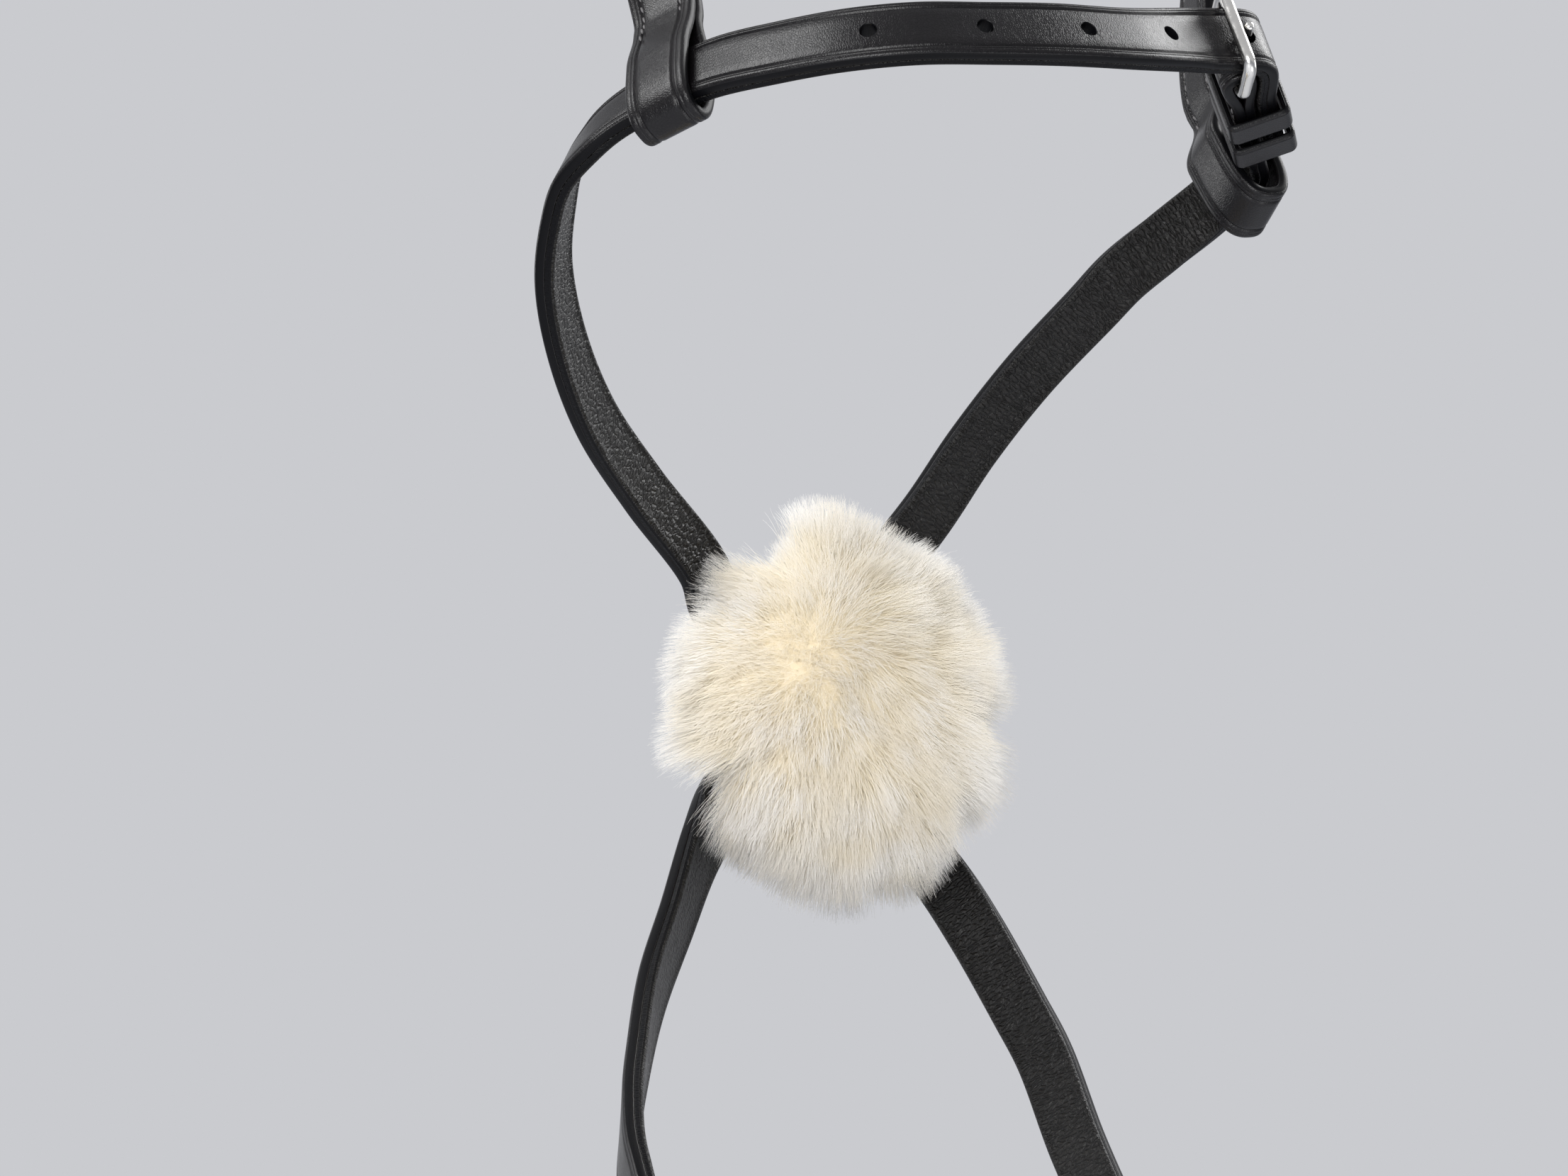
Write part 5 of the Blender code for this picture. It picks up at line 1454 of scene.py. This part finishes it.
class Strands:
    """Roots, directions and lengths of the wool, in locks that stand in domed tufts and lean outwards."""

    def __init__(self, wool):
        self.scatter = scatter = np.random.default_rng(wool.seed)
        pad = Pad(wool.pile)
        tufts = spread_points(wool.tuft_count) + scatter.normal(0, 0.07, (wool.tuft_count, 3))
        tufts = pad.surface(unit(tufts))[0]
        locks = unit(spread_points(wool.lock_count) + scatter.normal(0, 0.03, (wool.lock_count, 3)))
        place, normal = pad.surface(locks)
        nearest = np.argmin(np.linalg.norm(place[:, None] - tufts[None], axis=2), axis=1)
        apart = (place - tufts[nearest]) / wool.tuft_radius
        edge = np.clip(np.linalg.norm(apart, axis=1), 0, 1)
        away = place - pad.middle
        away[:, 1] = 0
        lean = np.clip(np.linalg.norm(away, axis=1) / 0.03, 0, 1)[:, None]
        sweep = np.array([0.55, 0, -0.55]) * (1 - lean)
        comb = normal * (1.15 - 0.60 * lean) + unit(away) * lean + sweep + np.array([0, 0, -0.20])
        comb = unit(comb) + apart * wool.tuft_fan
        tuft_turn = scatter.normal(0, 0.16, (wool.tuft_count, 3))
        comb = unit(comb + tuft_turn[nearest] + scatter.normal(0, 0.05, comb.shape))
        size = scatter.uniform(0.88, 1.12, wool.tuft_count)
        length = wool.pile * size[nearest] * (1.06 - wool.tuft_dome * edge ** 2)
        length -= notch_depth(locks) * (1 - DOME_NOTCH_SHARE)
        self.owner = owner = np.repeat(np.arange(wool.lock_count), wool.strands)
        self.normal = normal[owner]
        shift = scatter.normal(0, wool.lock_radius, (len(owner), 3))
        self.shift = shift - self.normal * np.sum(shift * self.normal, axis=1, keepdims=True)
        self.roots = place[owner] + self.shift - self.normal * MM
        self.way = unit(comb[owner] + scatter.normal(0, 0.10, (len(owner), 3)))
        self.length = length[owner] * scatter.uniform(0.86, 1.03, len(owner))


def strand_mesh(wool):
    """Every strand's points, triangles, (along, own shade) pairs and soft normals."""
    strands = Strands(wool)
    scatter, owner, way, length = strands.scatter, strands.owner, strands.way, strands.length
    points, faces = strand_pattern()
    t = points[:, 2][None, :, None]
    count = len(owner)
    crimp_side = unit(np.cross(way, scatter.normal(0, 1, (wool.lock_count, 3))[owner]))
    phase = scatter.uniform(0, 2 * math.pi, wool.lock_count)[owner] + scatter.normal(0, 0.7, count)
    wave = np.sin(phase[:, None, None] + t * length[:, None, None] * 2 * math.pi / CRIMP_LENGTH)
    spine = strands.roots[:, None] + way[:, None] * length[:, None, None] * t
    spine = spine - strands.shift[:, None] * wool.lock_gather * t ** 1.5
    spine = spine + crimp_side[:, None] * wave * CRIMP_HEIGHT * np.sqrt(t)
    spine[:, :, 2] -= (length[:, None] * 0.14) * t[:, :, 0] ** 2
    first = unit(np.cross(way, np.array([0.31, 0.55, 0.77])))
    second = np.cross(way, first)
    radius = wool.strand_radius * scatter.uniform(0.7, 1.2, count)
    ring = first[:, None] * points[None, :, 0:1] + second[:, None] * points[None, :, 1:2]
    places = spine + ring * radius[:, None, None]
    shade = np.broadcast_to(scatter.uniform(0, 1, count)[:, None], places.shape[:2])
    along = np.broadcast_to(points[None, :, 2], places.shape[:2])
    offsets = (np.arange(count) * len(points))[:, None, None]
    lit = unit(ring * 0.5 + strands.normal[:, None] + way[:, None] * 0.35)
    return (places.reshape(-1, 3), (faces[None] + offsets).reshape(-1, 3), along.ravel(), shade.ravel(),
            lit.reshape(-1, 3))


class NOSEBAND_OT_sheepskin(bpy.types.Operator):
    """Grow the sheepskin pad: a felted dome of wool with combed locks standing out of it"""
    bl_idname = "noseband.sheepskin"
    bl_label = "Sheepskin Pad"

    def execute(self, context):
        wool = context.scene.noseband_wool
        dome, dome_faces, dome_lit = self.dome(wool)
        places, faces, along, shade, lit = strand_mesh(wool)
        low = len(dome)
        places = np.concatenate([dome, places])
        faces = np.concatenate([dome_faces, faces + low])
        along = np.concatenate([np.full(low, 0.1), along])
        shade = np.concatenate([np.full(low, 0.4), shade])
        mesh = bpy.data.meshes.new("nose_fleece_pad_dressed")
        mesh.vertices.add(len(places))
        mesh.vertices.foreach_set("co", places.astype(np.float32).ravel())
        mesh.loops.add(faces.size)
        mesh.loops.foreach_set("vertex_index", faces.astype(np.int32).ravel())
        mesh.polygons.add(len(faces))
        mesh.polygons.foreach_set("loop_start", np.arange(0, faces.size, 3, dtype=np.int32))
        mesh.update(calc_edges=True)
        strand = mesh.uv_layers.new(name="strand")
        pairs = np.stack([along, shade], axis=1)[faces.ravel()]
        strand.data.foreach_set("uv", pairs.astype(np.float32).ravel())
        mesh.shade_smooth()
        # Strands take most of the pad's own normals, because light scatters on through real wool
        mesh.normals_split_custom_set_from_vertices(np.concatenate([dome_lit, lit]))
        piece = bpy.data.objects.new("nose_fleece_pad_dressed", mesh)
        context.scene.collection.objects.link(piece)
        dress(piece, sheepskin_wool(), "noseband", "cream_sheepskin", "nose_fleece_pad")
        return {'FINISHED'}

    def dome(self, wool):
        """The felted wool under the locks: points, triangles and normals."""
        bm = bmesh.new()
        bmesh.ops.create_icosphere(bm, subdivisions=5, radius=1.0)
        spread, faces = as_arrays(bm)
        place, normal = Pad(wool.pile).surface(spread)
        return place, faces, normal


# ---------------------------------------------------------------- stage


class NOSEBAND_OT_stage(bpy.types.Operator):
    """Set the camera, the pale floor, the lamps and the grey backdrop"""
    bl_idname = "noseband.stage"
    bl_label = "Stage"

    def execute(self, context):
        stage = context.scene.noseband_stage
        view = context.scene.view_settings
        view.view_transform = 'Standard'
        forward = Vector((-math.sin(CAMERA_AZIMUTH) * math.cos(CAMERA_ELEVATION),
                          math.cos(CAMERA_AZIMUTH) * math.cos(CAMERA_ELEVATION), -math.sin(CAMERA_ELEVATION)))
        right = Vector((math.cos(CAMERA_AZIMUTH), math.sin(CAMERA_AZIMUTH), 0.0))
        up = right.cross(forward)
        camera_data = bpy.data.cameras.new("photograph_view")
        camera_data.lens = CAMERA_LENS
        camera_data.sensor_width = 36.0
        camera = bpy.data.objects.new("photograph_view", camera_data)
        turn = Matrix((right, up, -forward)).transposed().to_4x4()
        camera.matrix_world = Matrix.Translation(CAMERA_PLACE) @ turn
        context.scene.collection.objects.link(camera)
        context.scene.camera = camera
        self.floor(context, stage)
        self.world(context, stage)
        for name, sideways, high, near, distance, size, power in LAMPS:
            place = (right * sideways + up * high - forward * near).normalized() * distance
            data = bpy.data.lights.new(name, 'AREA')
            data.shape = 'SQUARE'
            data.size = size
            data.energy = power * stage.lamp_share
            lamp = bpy.data.objects.new(name, data)
            lamp.matrix_world = facing_matrix(SCENE_MIDDLE + place, place)
            context.scene.collection.objects.link(lamp)
        return {'FINISHED'}

    def floor(self, context, stage):
        bm = bmesh.new()
        bmesh.ops.create_grid(bm, x_segments=1, y_segments=1, size=FLOOR_HALF_SIZE,
                              matrix=Matrix.Translation((0, 0, FLOOR_LEVEL)))
        floor = finished("floor", bm)
        material, tree = new_material("matt_paper_floor", {"Roughness": 0.9})
        low, high = [shaded(stage.backdrop_colour, share) for share in FLOOR_SHARES]
        place = add_node(tree, "TexCoord", {}).outputs["Object"]
        fibre = add_node(tree, "TexNoise", {"Scale": 40.0, "Detail": 3.0, "Vector": place}).outputs["Fac"]
        tone = add_node(tree, "Mix", {0: fibre, 6: low, 7: high}, data_type='RGBA').outputs[2]
        floor.data.materials.append(attach(material, {"Base Color": tone}))

    def world(self, context, stage):
        world = bpy.data.worlds.new("grey_backdrop")
        world.use_nodes = True
        tree = world.node_tree
        tree.nodes.clear()
        seen = add_node(tree, "LightPath", {}).outputs
        shown = seen["Is Camera Ray"]
        for other in ("Is Glossy Ray", "Is Transmission Ray"):
            shown = add_node(tree, "Math", {0: shown, 1: seen[other]}, operation='MAXIMUM').outputs[0]
        light = add_node(tree, "Background", {"Color": SKY_COLOUR, "Strength": 0.45}).outputs[0]
        paper = shaded(stage.backdrop_colour)
        backdrop = add_node(tree, "Background", {"Color": paper, "Strength": 1.0}).outputs[0]
        both = add_node(tree, "MixShader", {0: shown, 1: light, 2: backdrop}).outputs[0]
        add_node(tree, "OutputWorld", {"Surface": both})
        context.scene.world = world


class NOSEBAND_PT_panel(bpy.types.Panel):
    """Noseband sizes, colours and pieces"""
    bl_idname = "NOSEBAND_PT_panel"
    bl_label = "Bridle Noseband"
    bl_space_type = 'VIEW_3D'
    bl_region_type = 'UI'
    bl_category = "Noseband"

    def draw(self, context):
        for name in SETTINGS:
            group = getattr(context.scene, name)
            box = self.layout.box()
            for key in group.bl_rna.properties.keys():
                if key not in ("rna_type", "name"):
                    box.prop(group, key)
        for operator in OPERATORS:
            self.layout.operator(operator.bl_idname)


SETTINGS = {
    "noseband_leather": NosebandLeather,
    "noseband_wool": NosebandWool,
    "noseband_metal": NosebandMetal,
    "noseband_stage": NosebandStage,
}
OPERATORS = (NOSEBAND_OT_stage, NOSEBAND_OT_nose_straps, NOSEBAND_OT_cheekpieces, NOSEBAND_OT_buckles,
             NOSEBAND_OT_keepers, NOSEBAND_OT_crossing, NOSEBAND_OT_stitching, NOSEBAND_OT_sheepskin)


def register():
    for name, group in SETTINGS.items():
        bpy.utils.register_class(group)
        setattr(bpy.types.Scene, name, PointerProperty(type=group))
    for operator in OPERATORS:
        bpy.utils.register_class(operator)
    bpy.utils.register_class(NOSEBAND_PT_panel)


def unregister():
    bpy.utils.unregister_class(NOSEBAND_PT_panel)
    for operator in reversed(OPERATORS):
        bpy.utils.unregister_class(operator)
    for name, group in reversed(SETTINGS.items()):
        delattr(bpy.types.Scene, name)
        bpy.utils.unregister_class(group)


def main():
    register()
    bpy.ops.noseband.stage()
    bpy.ops.noseband.nose_straps()
    bpy.ops.noseband.cheekpieces()
    bpy.ops.noseband.buckles()
    bpy.ops.noseband.keepers()
    bpy.ops.noseband.crossing()
    bpy.ops.noseband.stitching()
    bpy.ops.noseband.sheepskin()


if __name__ == "__main__":
    main()
